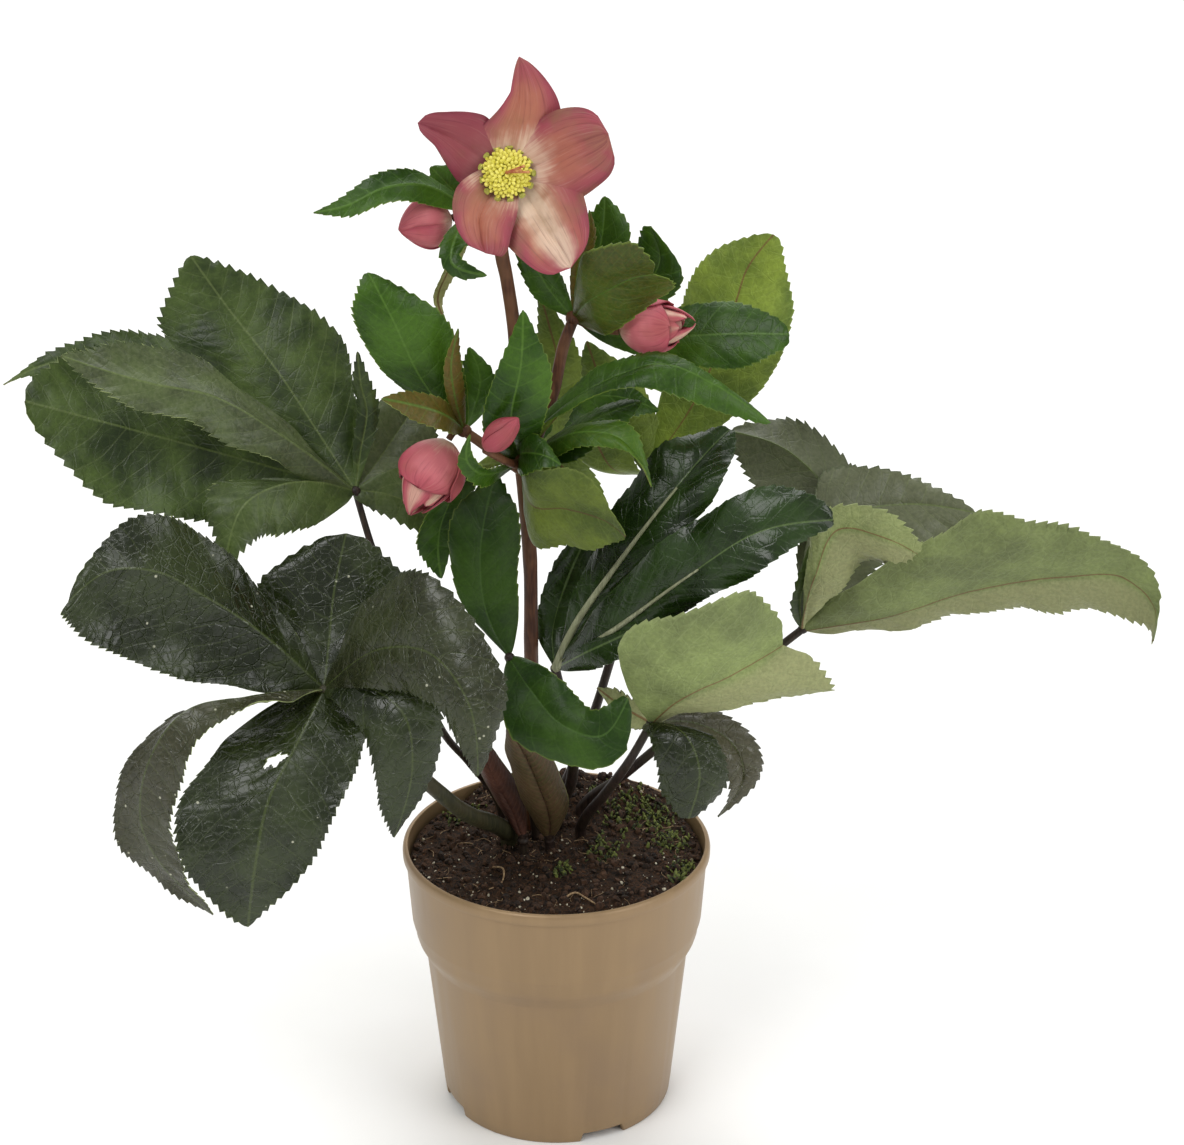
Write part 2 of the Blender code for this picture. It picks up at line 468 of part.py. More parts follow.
def soil(mat, stalks):
    """The pot's fill of peat, mounded towards the back, with a plain hole for each stalk."""
    rng = random.Random(SEED)
    r, b, c, w = RIM_RADIUS, BASE_RADIUS, COLLAR_HEIGHT, WALL + GAP
    segments = 24
    low = [(b - 3.8, 6.7), (b - w - 0.3, 8.8), (r - 9.4 - w, c - 11.4),
           (r - 6.5 - w, c - 5.8), (r - 3.8 - w, c + 2.5), (SOIL_RADIUS - 0.6, SOIL_LEVEL - 5), (SOIL_RADIUS, SOIL_LEVEL - 1.5)]
    verts, faces = [(0, 0, 6.7)], []
    rings = [(radius, lambda x, y, z=height: z) for radius, height in low]
    for share in (0.94, 0.76, 0.54, 0.3):
        rings.append((SOIL_RADIUS * share, surface_height(rng)))
    for radius, height in rings:
        for k in range(segments):
            turn = 2 * math.pi * k / segments
            x, y = radius * math.cos(turn), radius * math.sin(turn)
            verts.append((x, y, height(x, y)))
    verts.append((0, 0, SOIL_LEVEL + 1.2))
    top = len(verts) - 1
    for k in range(segments):
        n = (k + 1) % segments
        faces.append((0, 1 + n, 1 + k))
        for i in range(len(rings) - 1):
            a = 1 + i * segments
            faces.append((a + k, a + n, a + segments + n, a + segments + k))
        a = 1 + (len(rings) - 1) * segments
        faces.append((top, a + k, a + n))
    holes = []
    for stalk in stalks:
        x, y, z = stalk.points[-1]
        radius = stalk.end + GAP * 1.5
        holes.append(tube(Stalk(((x, y, FOOT_HEIGHT - 1), (x, y, z + 10)), radius, radius), sides=9, spacing=30))
    return combine("soil", [(verts, faces)], mat, holes)


def surface_height(rng):
    """Height of the peat: a low mound to the back with lumps."""
    def height(x, y):
        mound = 2.2 * math.exp(-((x - 2) ** 2 + (y - 22) ** 2) / 900)
        return SOIL_LEVEL + mound + rng.uniform(-0.7, 0.7)
    return height


# Leaves
def palmate_leaf(name, spec, petiole, mat, teeth=0.05):
    """A basal leaf: leaflets spread from a hub on their petiole."""
    hub, leaflets = spec
    parts = [tube(petiole, sides=6, spacing=17)]
    parts.append(ball(hub, (3.6, 3.6, 3.2), 4, 6))
    parts += [blade(leaf, hub, teeth) for leaf in leaflets]
    return combine(name, parts, mat)


def whorl(name, spec, mat, stalks, size=6.0):
    """Bracts that clasp a stalk at their hub."""
    hub, leaflets = spec
    parts = [ball(hub, (size, size, size * 0.8), 4, 7)] + [blade(leaf, hub, 0.04) for leaf in leaflets]
    return combine(name, parts, mat, [tube(stalk, sides=7, extra=GAP) for stalk in stalks])


def flowering_stem(mat):
    """The stem with its side stalks."""
    parts = [tube(stalk, sides=7) for stalk in (MAIN_STEM,) + SIDE_STALKS]
    return combine("flowering_stem", parts, mat)


# Bloom and buds
def frame_about(ahead):
    """Two directions square to the given one."""
    across = ahead.orthogonal().normalized()
    return across, ahead.normalized().cross(across)


def egg(base, tip, radius, rings=6, sides=9, ridges=()):
    """A closed egg from base to tip, its radius stepped around by ridges as overlapping sepals are."""
    base, tip = Vector(base), Vector(tip)
    ahead = tip - base
    across, up = frame_about(ahead)
    verts, faces = [base], []
    for i in range(1, rings):
        t = i / rings
        swell = radius * math.sin(math.pi * t ** 0.85)
        for k in range(sides):
            turn = 2 * math.pi * k / sides
            step = ridges[k % len(ridges)] if ridges else 1.0
            verts.append(base + ahead * t + (across * math.cos(turn) + up * math.sin(turn)) * swell * step)
    verts.append(tip)
    top = len(verts) - 1
    for k in range(sides):
        n = (k + 1) % sides
        faces.append((0, 1 + n, 1 + k))
        faces.append((top, top - sides + k, top - sides + n))
        for i in range(rings - 2):
            a = 1 + i * sides
            faces.append((a + k, a + n, a + sides + n, a + sides + k))
    return verts, faces


def bud(name, size, mat):
    """A bud: five overlapping sepals, whose tips stand away from the core where it is opening."""
    base, tip, radius, opening = size
    base, tip = Vector(base), Vector(tip)
    ridges = (1.0, 1.03, 0.94)
    if not opening:
        return combine(name, [egg(base, tip, radius, 7, 15, ridges)], mat)
    parts = [egg(base, base.lerp(tip, 0.86), radius * 0.97, 6, 10, (1.0, 0.95))]
    across, up = frame_about(tip - base)
    inside = base.lerp(tip, 0.2)
    for k in range(5):
        turn = 2 * math.pi * (k + 0.25) / 5
        out = across * math.cos(turn) + up * math.sin(turn)
        side = (tip - base).normalized().cross(out)
        rib = [base.lerp(tip, t) + out * radius * f
               for t, f in ((0.45, 0.7), (0.7, 0.95), (0.88, 0.75 + 0.2 * opening), (1.0, 0.4 + 0.4 * opening))]
        reach, inward = side * radius * 0.62, -out * radius * 0.22
        parts.append(blade(Leaflet(tuple(rib), inward - reach, inward + reach, 0.7, 0.4, 0.6, rows=4), inside))
    return combine(name, parts, mat)


def bloom(mats):
    """The open bloom: five cupped sepals, a dome of anthers and the styles in a hole through it."""
    centre, facing = Vector(BLOOM_CENTRE), Vector(BLOOM_FACING).normalized()
    seat = centre - facing
    parts = [ball(seat, (7.0, 3.2, 7.0), 4, 7)] + [blade(leaf, seat, columns=2, bulge=0.1) for leaf in SEPALS]
    combine("bloom_sepals", parts, mats["sepal"])
    across, up = frame_about(facing)
    low, high = centre + facing * 2.6, centre + facing * 9.0
    anthers = [egg(low, high, 8.4, 5, 10)]
    for count, ring, height in ((6, 4.6, 5.0), (10, 7.9, 2.9)):
        for k in range(count):
            turn = 2 * math.pi * (k + 0.3) / count
            spot = low + (across * math.cos(turn) + up * math.sin(turn)) * ring + facing * height
            anthers.append(ball(spot, (2.1, 2.1, 2.1), 3, 4))
    bore = tube(Stalk((low - facing * 2, high + facing * 5), 2.6, 2.6), sides=8, spacing=20)
    combine("bloom_stamens", anthers, mats["anther"], [bore])
    root = centre + facing * 4.2
    styles = [ball(root, (2.0, 2.0, 2.0), 4, 7)]
    for lean, rise in ((3.2, 1.4), (5.6, -0.4), (4.4, 3.0)):
        bend, end = root + facing * 6.5 + across * 0.6, root + facing * 9.5 + Vector((lean, 0, rise))
        styles.append(tube(Stalk((root, bend, end), 0.8, 0.6), sides=4, spacing=6))
    combine("bloom_styles", styles, mats["style"])


def main():
    """Build every subcomponent."""
    clear_scene()
    mats = {
        "plastic": finish("pot_plastic", (0.34, 0.23, 0.12), 0.42),
        "peat": finish("peat", (0.025, 0.014, 0.009), 0.95),
        "old": finish("leaf_old", (0.03, 0.05, 0.028), 0.4),
        "young": finish("leaf_young", (0.08, 0.17, 0.04), 0.5),
        "pale": finish("leaf_underside", (0.2, 0.3, 0.12), 0.6),
        "stem": finish("stem_skin", (0.13, 0.05, 0.04), 0.55),
        "sepal": finish("sepal", (0.5, 0.17, 0.17), 0.55),
        "anther": finish("anther", (0.55, 0.5, 0.07), 0.7),
        "style": finish("style", (0.38, 0.1, 0.06), 0.5),
        "sheath": finish("sheath", (0.14, 0.07, 0.05), 0.6),
    }
    petioles = (PETIOLE_A, PETIOLE_B, PETIOLE_C, PETIOLE_D, PETIOLE_E, PETIOLE_F, PETIOLE_K, MAIN_STEM,
                SHEATH_FRONT_FOOT, SHEATH_LEFT_FOOT)
    pot(mats["plastic"])
    soil(mats["peat"], petioles)
    palmate_leaf("leaf_upper_left", LEAF_A, PETIOLE_A, mats["old"])
    palmate_leaf("leaf_lower_left", LEAF_B, PETIOLE_B, mats["old"])
    palmate_leaf("leaf_far_right", LEAF_C, PETIOLE_C, mats["pale"])
    palmate_leaf("leaf_lower_right", LEAF_D, PETIOLE_D, mats["pale"])
    palmate_leaf("leaf_front", LEAF_E, PETIOLE_E, mats["young"])
    palmate_leaf("leaf_right", LEAF_F, PETIOLE_F, mats["old"])
    palmate_leaf("leaf_back", LEAF_K, PETIOLE_K, mats["young"])
    palmate_leaf("sheath_front", SHEATH_FRONT, SHEATH_FRONT_FOOT, mats["sheath"], 0.0)
    palmate_leaf("sheath_left", SHEATH_LEFT, SHEATH_LEFT_FOOT, mats["sheath"], 0.0)
    flowering_stem(mats["stem"])
    stem = (MAIN_STEM,) + SIDE_STALKS
    whorl("bracts_middle", BRACTS_MIDDLE, mats["young"], stem, 6.8)
    whorl("bracts_left", BRACTS_LEFT, mats["young"], stem, 4.6)
    whorl("bracts_right", BRACTS_RIGHT, mats["young"], stem, 5.2)
    whorl("bracts_top", BRACTS_TOP, mats["young"], stem, 4.2)
    bloom(mats)
    for name, size in BUDS.items():
        bud(name, size, mats["sepal"])


main()
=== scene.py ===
"""Potted hellebore in flower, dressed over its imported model: leaves, bracts, bloom, buds, pot and peat.

Sizes are millimetres until a mesh is made. Z is up, the bloom faces -Y and the pot stands centred on z = 0.
"""
import logging
import math
from collections.abc import Callable
from dataclasses import dataclass, field
from enum import Enum
from functools import cache, partial

import bpy
import numpy as np
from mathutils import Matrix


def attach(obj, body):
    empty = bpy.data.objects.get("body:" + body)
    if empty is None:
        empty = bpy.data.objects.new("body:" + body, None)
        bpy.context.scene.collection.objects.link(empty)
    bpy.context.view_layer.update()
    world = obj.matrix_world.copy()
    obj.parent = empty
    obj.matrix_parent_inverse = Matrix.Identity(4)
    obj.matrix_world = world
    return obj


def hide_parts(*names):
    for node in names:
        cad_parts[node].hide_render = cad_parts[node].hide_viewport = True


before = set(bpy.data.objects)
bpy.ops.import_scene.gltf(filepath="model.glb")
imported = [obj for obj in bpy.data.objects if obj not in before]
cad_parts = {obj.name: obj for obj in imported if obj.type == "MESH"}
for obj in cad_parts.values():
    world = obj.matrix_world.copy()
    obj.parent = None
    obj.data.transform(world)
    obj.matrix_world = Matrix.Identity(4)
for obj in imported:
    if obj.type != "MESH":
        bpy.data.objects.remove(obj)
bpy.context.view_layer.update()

LOG = logging.getLogger("hellebore")
MM = 0.001
Array = np.ndarray


class Face(Enum):
    """Which face of a blade looks towards the side that the bloom faces."""
    UPPER = 0
    UNDER = 1


# Driving dimensions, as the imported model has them
POT_HEIGHT = 119.4
RIM_RADIUS = 65.0
BASE_RADIUS = 48.8
WALL = 1.3
COLLAR_HEIGHT = 83.0
SOIL_LEVEL = 114.5
SOIL_RADIUS = 61.5
FOOT_HEIGHT = 105.0


@dataclass(frozen=True)
class Leaflet:
    """One blade grown from its hub along a midrib.

    left and right reach from the midrib to the margin where the blade is widest, and left_tip and right_tip
    do so beyond the share `turned` of its length. tone is (share of the finish's second colour, lightening),
    pale is how far each half, left and right, takes the second colour (on a blade folded along its midrib
    this paints the half turned away from the light in the grey-beige of shade: painted shade), point is how
    far the tip is drawn in, curl how many mm each margin is turned up, and torn a hole: (share along, share
    across, radius).
    """
    rib: tuple
    left: tuple
    right: tuple
    rise: float = 0.9
    fall: float = 0.7
    widest: float = 0.55
    left_tip: tuple | None = None
    right_tip: tuple | None = None
    turned: float = 0.75
    shown: Face = Face.UPPER
    tone: tuple = (0.0, 0.0)
    # pale: each half's share of the second colour; painted shade on the half of a folded blade turned from
    # the light
    pale: tuple = (0.0, 0.0)
    point: float = 0.35
    curl: tuple = (0.0, 0.0)
    torn: tuple | None = None


@dataclass(frozen=True)
class Stalk:
    """A round stalk through points, its radius at both ends, and whether it runs down into the soil."""
    points: tuple
    start: float
    end: float
    rooted: bool = False


@dataclass(frozen=True)
class Habit:
    """How the blades of one kind of leaf are cut and puckered, in mm."""
    tooth: float
    depth: float
    vein: float
    pucker: float
    wave: float
    bulge: float = 0.07
    rib: float = 0.8
    thick: float = 0.55
    rough: float = 0.25
    uneven: float = 0.07


OLD_HABIT = Habit(tooth=4.1, depth=1.5, vein=9.5, pucker=0.5, wave=1.4)
DEEP_HABIT = Habit(tooth=3.4, depth=1.2, vein=9.5, pucker=0.65, wave=1.4)
GLOSSY_HABIT = Habit(tooth=5.0, depth=0.6, vein=9.0, pucker=0.35, wave=2.0)
BRACT_HABIT = Habit(tooth=3.6, depth=0.75, vein=7.5, pucker=0.25, wave=1.0, rib=0.5)
SCALE_HABIT = Habit(tooth=0.0, depth=0.0, vein=3.0, pucker=0.1, wave=0.3, bulge=0.3, rib=0.2)
SEPAL_HABIT = Habit(tooth=0.0, depth=0.0, vein=2.2, pucker=0.06, wave=0.8, bulge=0.16, rib=0.0, thick=0.6)

UNDER = Face.UNDER

# Basal leaves: hub, leaflets and petiole
LEAF_A = ((-80, 0, 278), (
    Leaflet(((-95, 10, 299), (-111, 20, 321), (-132, 32, 345), (-146, 36, 365)), (-32, 4, 1), (25, 12, 12),
            1.0, 0.75, 0.5, (-35, 0, -5), (16, 7, 13), 0.78),
    Leaflet(((-110, -14, 309), (-132, -20, 325), (-156, -24, 332), (-189, -26, 344)), (-14, 10, 16),
            (-12, -10, -6), 0.9, 0.8, 0.53, tone=(0.4, 0.03)),
    Leaflet(((-122, 4, 289), (-166, 6, 301), (-211, 6, 314)), (-6, 16, 29), (-1, -16, -28), 0.9, 0.5, 0.64),
    Leaflet(((-104, -22, 290), (-121, -34, 285), (-129, -40, 259)), (-23, 2, 1), (2, -8, -18), 0.9, 1.0, 0.5,
            (-13, 3, -4), (13, -4, -7), 0.8, tone=(0.2, 0.0)),
    Leaflet(((-122, 26, 296), (-166, 42, 314), (-204, 48, 316), (-228, 48, 306)), (-4, 16, 15), (2, -13, -15),
            0.9, 1.3, 0.66),
    Leaflet(((-72, 14, 285), (-63, 24, 296), (-53, 30, 309)), (-15, -1, 7), (14, -3, -7), 0.7, 0.5,
            tone=(0.5, 0.0)),
    Leaflet(((-67, 1, 276), (-56, 6, 268), (-49, 8, 255)), (9, 4, 12), (-8, -3, -5), 0.6, 0.6,
            tone=(0.3, 0.0)),
    Leaflet(((-78, 5, 292), (-75, 8, 309), (-77, 8, 320), (-78, 8, 334)), (-4, 0, 1), (5, 0, 1)),
))
PETIOLE_A = Stalk(((-80, 0, 278), (-74, -4, 256), (-60, -6, 210), (-47, 2, 169), (-37, 12, 150),
                  (-27, 22, 130), (-24, 25, 120)), 1.4, 1.7, True)

LEAF_B = ((-90, -57, 217), (
    Leaflet(((-114, -60, 243), (-134, -66, 261), (-149, -72, 273), (-167, -80, 277), (-182, -86, 267)),
            (1, 20, 16), (-19, -16, -26), 0.9, 0.55, 0.62),
    Leaflet(((-117, -76, 223), (-141, -86, 221), (-156, -90, 200), (-159, -88, 169), (-135, -82, 130)),
            (-12, 6, -9), (14, -6, -1), 0.8, 0.8, 0.5, tone=(0.5, 0.0)),
    Leaflet(((-99, -85, 206), (-109, -98, 189), (-114, -104, 167), (-119, -100, 135)), (-36, 0, -5),
            (29, 8, -1), 0.55, 0.75, 0.42, torn=(0.33, -0.17, 4.6)),
    Leaflet(((-64, -80, 245), (-44, -98, 250), (-31, -110, 236), (-28, -112, 207)), (2, 12, 27),
            (-3, -4, -17), 0.7, 0.6, 0.54, (17, 6, 7), (-8, 2, -15), tone=(0.3, 0.0)),
    Leaflet(((-89, -40, 230), (-87, -32, 248), (-82, -26, 270)), (-31, 0, -3), (27, 2, -4), 0.9, 0.4, 0.69),
    Leaflet(((-70, -76, 226), (-57, -86, 220), (-54, -90, 200), (-62, -88, 168)), (12, 5, 6), (-15, 1, -11),
            0.9, 0.8, 0.53),
))
PETIOLE_B = Stalk(((-90, -57, 217), (-79, -62, 209), (-69, -60, 196), (-51, -44, 169), (-37, -26, 146),
                  (-24, -4, 128), (-20, 4, 120)), 2.3, 4.0, True)

# Leaflets 1 and 4 show their undersides, folded along the midrib: pale paints the half turned from the light
# in the second colour, as painted shade.
LEAF_C = ((103, 22, 207), (
    Leaflet(((134, 10, 218), (172, 0, 235), (204, -6, 243), (228, -10, 245), (242, -14, 233),
            (242, -16, 219)), (-3, -19, 42), (6, 6, -12), 0.7, 0.5, 0.45, (2, -9, 16), (-4, 9, -23), 0.8,
            UNDER, tone=(0.0, -0.22), pale=(0.0, 0.95)),
    Leaflet(((112, 40, 226), (123, 52, 245), (148, 60, 248), (178, 60, 244)), (-10, 10, 20), (19, -6, -17),
            1.0, 0.6, 0.45, (-3, 8, 11), (7, -9, -16), tone=(0.9, 0.1)),
    Leaflet(((111, 46, 226), (117, 58, 248), (99, 70, 268), (74, 76, 275)), (16, 9, 8), (-17, -3, 2), 1.2,
            0.6, 0.45, (5, 15, 9), (-17, -5, -13), 0.72, tone=(0.8, -0.05)),
    Leaflet(((106, 4, 239), (114, -2, 262), (133, -8, 261), (152, -8, 250)), (-5, -1, 14), (13, 7, -18), 1.4,
            0.7, 0.5, (7, -3, 9), (12, 8, -20), 0.75, UNDER, pale=(0.4, 0.95)),
    Leaflet(((101, 16, 223), (103, 14, 235), (104, 14, 248)), (-4, 0, -3), (7, 0, -1)),
))
PETIOLE_C = Stalk(((103, 22, 207), (96, 22, 201), (77, 20, 185), (52, 17, 163), (27, 19, 139), (15, 25, 127),
                  (10, 27, 120)), 1.7, 2.2, True)

# Leaflet 1 shows its underside, folded along the midrib: pale paints its right half, turned from the light,
# in the second colour as painted shade.
LEAF_D = ((39, -28, 188), (
    Leaflet(((51, -40, 205), (71, -44, 218), (90, -40, 228)), (-27, -18, 45), (10, 7, -7), 0.5, 0.3, 0.2,
            (1, -15, 40), (38, 10, -15), 0.75, UNDER, pale=(0.0, 0.9)),
    Leaflet(((28, -18, 190), (17, -10, 195)), (2, 2, 4), (3, -8, -5), shown=UNDER, pale=(0.8, 0.8)),
    Leaflet(((52, -42, 190), (58, -48, 177), (54, -48, 155)), (12, 2, -1), (-17, 4, -3), 0.7, 0.5, 0.58),
    Leaflet(((57, -20, 184), (72, -18, 174), (77, -20, 160), (67, -24, 143)), (4, 6, 6), (-3, -7, -7), 0.7,
            0.8, 0.25, (10, 3, 0), (-7, -7, 0), 0.6, tone=(0.8, 0.05)),
))
PETIOLE_D = Stalk(((39, -28, 188), (31, -26, 171), (21, -12, 148), (13, 2, 130), (10, 9, 120)), 1.7, 2.4,
                  True)

LEAF_E = ((-18, -34, 220), (
    Leaflet(((-9, -50, 213), (3, -62, 204), (19, -68, 202), (29, -66, 217)), (6, 8, 12), (-17, -2, -10), 0.8,
            0.5, 0.45, (-6, 7, 8), (7, -4, -14), 0.85),
    Leaflet(((-27, -30, 238), (-29, -28, 264), (-23, -20, 293)), (-13, 1, 7), (16, 1, 5), 0.8, 0.7, 0.53,
            tone=(0.0, -0.3)),
))
PETIOLE_E = Stalk(((-18, -34, 220), (-17, -23, 196), (-14, -8, 165), (-11, 3, 138), (-9, 8, 120)), 1.5, 1.8,
                  True)

LEAF_F = ((0, -10, 204), (
    Leaflet(((8, -12, 224), (22, -16, 248), (42, -14, 276), (61, -6, 297), (70, 0, 304)), (-8, 12, 12),
            (19, -6, 5), 1.2, 0.6, 0.67),
    Leaflet(((26, -30, 232), (53, -42, 259), (80, -48, 280), (108, -46, 284)), (2, 4, 24), (16, -8, 1), 0.7,
            0.5, 0.45, (9, 8, 21), (11, -7, -9)),
    Leaflet(((-1, 2, 216), (5, 5, 237), (17, 10, 263)), (-9, -1, 0), (10, -3, -3), widest=0.56),
    Leaflet(((14, -28, 220), (30, -34, 231), (45, -36, 242)), (-2, 4, 1), (5, -4, -6), widest=0.56),
))
PETIOLE_F = Stalk(((0, -10, 204), (3, -8, 189), (7, 0, 166), (6, 8, 142), (1, 14, 127), (0, 16, 120)), 2.0,
                  2.6, True)

LEAF_K = ((37, 50, 266), (
    Leaflet(((56, 50, 295), (67, 48, 321), (74, 45, 344), (78, 45, 357), (88, 42, 372)), (-18, 6, 10),
            (24, -6, -6), 1.0, 0.6, 0.62, shown=UNDER, tone=(0.0, 0.24)),
    Leaflet(((32, 50, 281), (22, 46, 300), (13, 42, 327)), (-10, 2, 0), (17, 2, 0), widest=0.56, shown=UNDER),
    Leaflet(((24, 40, 272), (16, 34, 288), (10, 30, 308)), (-12, 0, 0), (12, -2, 1), 0.7, 0.6, shown=UNDER),
))
PETIOLE_K = Stalk(((37, 50, 266), (34, 42, 230), (23, 38, 186), (12, 37, 149), (3, 36, 127), (0, 36, 120)),
                  1.6, 2.2, True)

# Flowering stem: its stalks, sheath scales and the whorls of bracts
MAIN_STEM = Stalk(((-17.1, -20.4, 414.5), (-17.2, -17.2, 413.2), (-19, -12, 402), (-20, -8, 381),
                  (-18, -8, 369), (-15, -8, 344), (-15, -10, 324), (-14, -12, 304), (-12, -12, 283),
                  (-10, -8, 251), (-10, -4, 214), (-10, 4, 175), (-10, 12, 139), (-10, 18, 120)), 2.6, 3.1,
                  True)
SIDE_STALKS = (
    Stalk(((-12, -13, 290), (-5, -10, 310), (0, -8, 324), (4, -6, 342), (8, -4, 352)), 2.6, 2.2),
    Stalk(((8, -4, 352), (16, -6, 349), (25.6, -8, 348)), 1.6, 1.6),
    Stalk(((-13, -13, 292), (-24, -18, 302), (-35, -20, 311)), 2.4, 1.9),
    Stalk(((-35, -20, 311), (-38.6, -22.9, 311.8), (-40.8, -24.8, 309.3)), 1.6, 1.3),
    Stalk(((-20, -8, 381), (-25, -8, 390), (-30, -7, 395), (-38.6, -6, 393)), 2.0, 1.5),
    Stalk(((-13, -13, 298), (-15, -30, 301), (-20, -40, 307), (-26.1, -45.7, 312.8)), 2.0, 1.3),
)
SHEATH_FRONT = ((-3, -3, 121), (
    Leaflet(((-3, -8, 135), (-7, -14, 152), (-13, -21, 171), (-19, -24, 184)), (-11, 3, 4), (9, 5, 3), 0.5,
            0.6, 0.45, tone=(0.5, 0.0)),
))
SHEATH_FRONT_FOOT = Stalk(((-3, -4, 124), (-3, -3, 119)), 2.0, 2.0, True)
SHEATH_LEFT = ((-14, -4, 121), (
    Leaflet(((-19, -4, 136), (-25, -7, 150), (-29, -12, 164), (-31, -12, 177)), (-7, 4, 4), (5, 6, 4), 0.5,
            0.8, 0.4),
))
SHEATH_LEFT_FOOT = Stalk(((-14, -4, 124), (-14, -4, 119)), 1.7, 1.7, True)

BRACTS_MIDDLE = ((-13, -13, 296), (
    Leaflet(((-16, -38, 324), (-12, -42, 346), (-11, -40, 367)), (-12, 3, -7), (13, 3, -4), tone=(0.0, 0.05)),
    Leaflet(((-23, -34, 299), (-29, -44, 303), (-33, -48, 310), (-31.5, -48, 320)), (2, -1, 3), (-3, -1, -5),
            0.8, 0.7, 0.5, (4, -1, 2), (-5, -1, -1), 0.8, tone=(0.0, 0.05)),
    Leaflet(((-11, -34, 307), (-3, -42, 309), (3, -44, 306)), (1, 5, 7), (-1, -5, -7)),
    Leaflet(((10, -30, 314), (25, -38, 315), (33, -42, 307), (38, -44, 297)), (6, 4, 4), (3, -6, -4), 0.7,
            0.9, 0.44, tone=(0.15, 0.08)),
    Leaflet(((-8, -28, 283), (5, -38, 286), (21, -46, 284), (28, -50, 279)), (-1, -10, 21), (1, 6, -20), 0.6,
            0.6, 0.5, shown=UNDER, tone=(0.0, -0.3)),
    Leaflet(((-5, -21, 310), (8, -22, 325), (26, -25, 336), (43, -30, 342), (62, -31, 334), (84, -30, 318)),
            (-3, 7, 3), (-9, -6, -7), 0.7, 0.5, 0.58, tone=(0.0, -0.08)),
    Leaflet(((2, -18, 306), (18, -17, 316), (34, -17, 322)), (4, 7, 4), (5, -9, -6)),
    Leaflet(((-3, 4, 303), (8, 16, 310), (23, 20, 311), (42, 20, 305)), (1, 5, 8), (4, -5, -10), 0.8, 0.7),
    Leaflet(((1, -16, 296), (11, -21, 285), (19, -25, 270)), (8, 5, 1), (-7, -5, -7), 0.8, 0.7, shown=UNDER,
            tone=(0.0, 0.06)),
    Leaflet(((-4, 8, 305), (1, 18, 326), (-2, 20, 341), (-6, 20, 356)), (-7, 2, -1), (10, -2, -2),
            shown=UNDER),
    Leaflet(((-33, -4, 288), (-44, -5, 270), (-47, -4, 256), (-46, -3, 241)), (-10, 0, -6), (11, 0, 8)),
))
BRACTS_LEFT = ((-35, -20, 311), (
    Leaflet(((-50, -26, 333), (-61, -32, 361), (-70, -28, 378)), (-17, 2, 3), (19, 8, 1), 0.9, 0.65, 0.58),
    Leaflet(((-38, -31, 330), (-39, -33, 343), (-36, -32, 357)), (-3, -1, 0), (4, 3, 0), tone=(0.8, 0.0)),
    Leaflet(((-43, -38, 325), (-54, -42, 330), (-65, -44, 333)), (-2, 5, 5), (0, -3, -6), tone=(0.7, 0.0)),
    Leaflet(((-31, -10, 318), (-29, -6, 328), (-33, -4, 340)), (-7, 1, 2), (6, 1, 0)),
))
BRACTS_RIGHT = ((8, -4, 352), (
    Leaflet(((15, -22, 366), (25, -30, 374), (31, -34, 378), (38, -36, 380)), (-1, -17, 27), (9, 3, -14), 0.5,
            0.35, 0.35, (5, -14, 20), (22, 6, -5), 0.8, tone=(0.38, 0.05)),
    Leaflet(((15, 8, 367), (19, 10, 381), (20, 10, 397)), (-8, 0, 3), (12, 0, 1)),
    Leaflet(((10, -2, 374), (13, -2, 383), (14, -2, 395)), (-3, 0, -1), (4, 0, 1), tone=(0.7, 0.1)),
    Leaflet(((34, 18, 356), (42, 20, 368), (38, 20, 382)), (-11, 2, 3), (9, -4, -6), 0.9, 0.4, 0.69),
    Leaflet(((-1, -4, 363), (-8, -6, 375), (-15, -6, 384)), (-5, 1, -5), (6, 1, 3)),
    Leaflet(((18, 8, 342), (34, 10, 339), (54, 4, 342), (73, -2, 345), (92, -6, 346)), (0, 10, 11),
            (4, -8, -12), 1.4, 0.45, 0.76, tone=(0.0, -0.05)),
))
BRACTS_TOP = ((-31, -7, 396), (
    Leaflet(((-48, -14, 408), (-63, -20, 409), (-78, -24, 403), (-90, -26, 401)), (-3, 4, 5), (-1, -4, -6),
            0.7, 0.8, 0.47),
    Leaflet(((-37, -20, 389), (-38, -26, 381), (-25, -28, 377)), (-6, 1, -2), (8, 1, 1), 0.9, 0.7, 0.45,
            (0, 1, -5), (0, 1, 5), 0.8),
    Leaflet(((-38, 0, 402), (-47, 2, 411)), (-5, 0, -1), (5, 0, 6)),
    Leaflet(((-34, -13, 387), (-41, -11, 373), (-45, -8, 361), (-42, -8, 352)), (-2, -1, -1), (3, 1, -1),
            shown=UNDER, pale=(0.9, 0.9)),
))

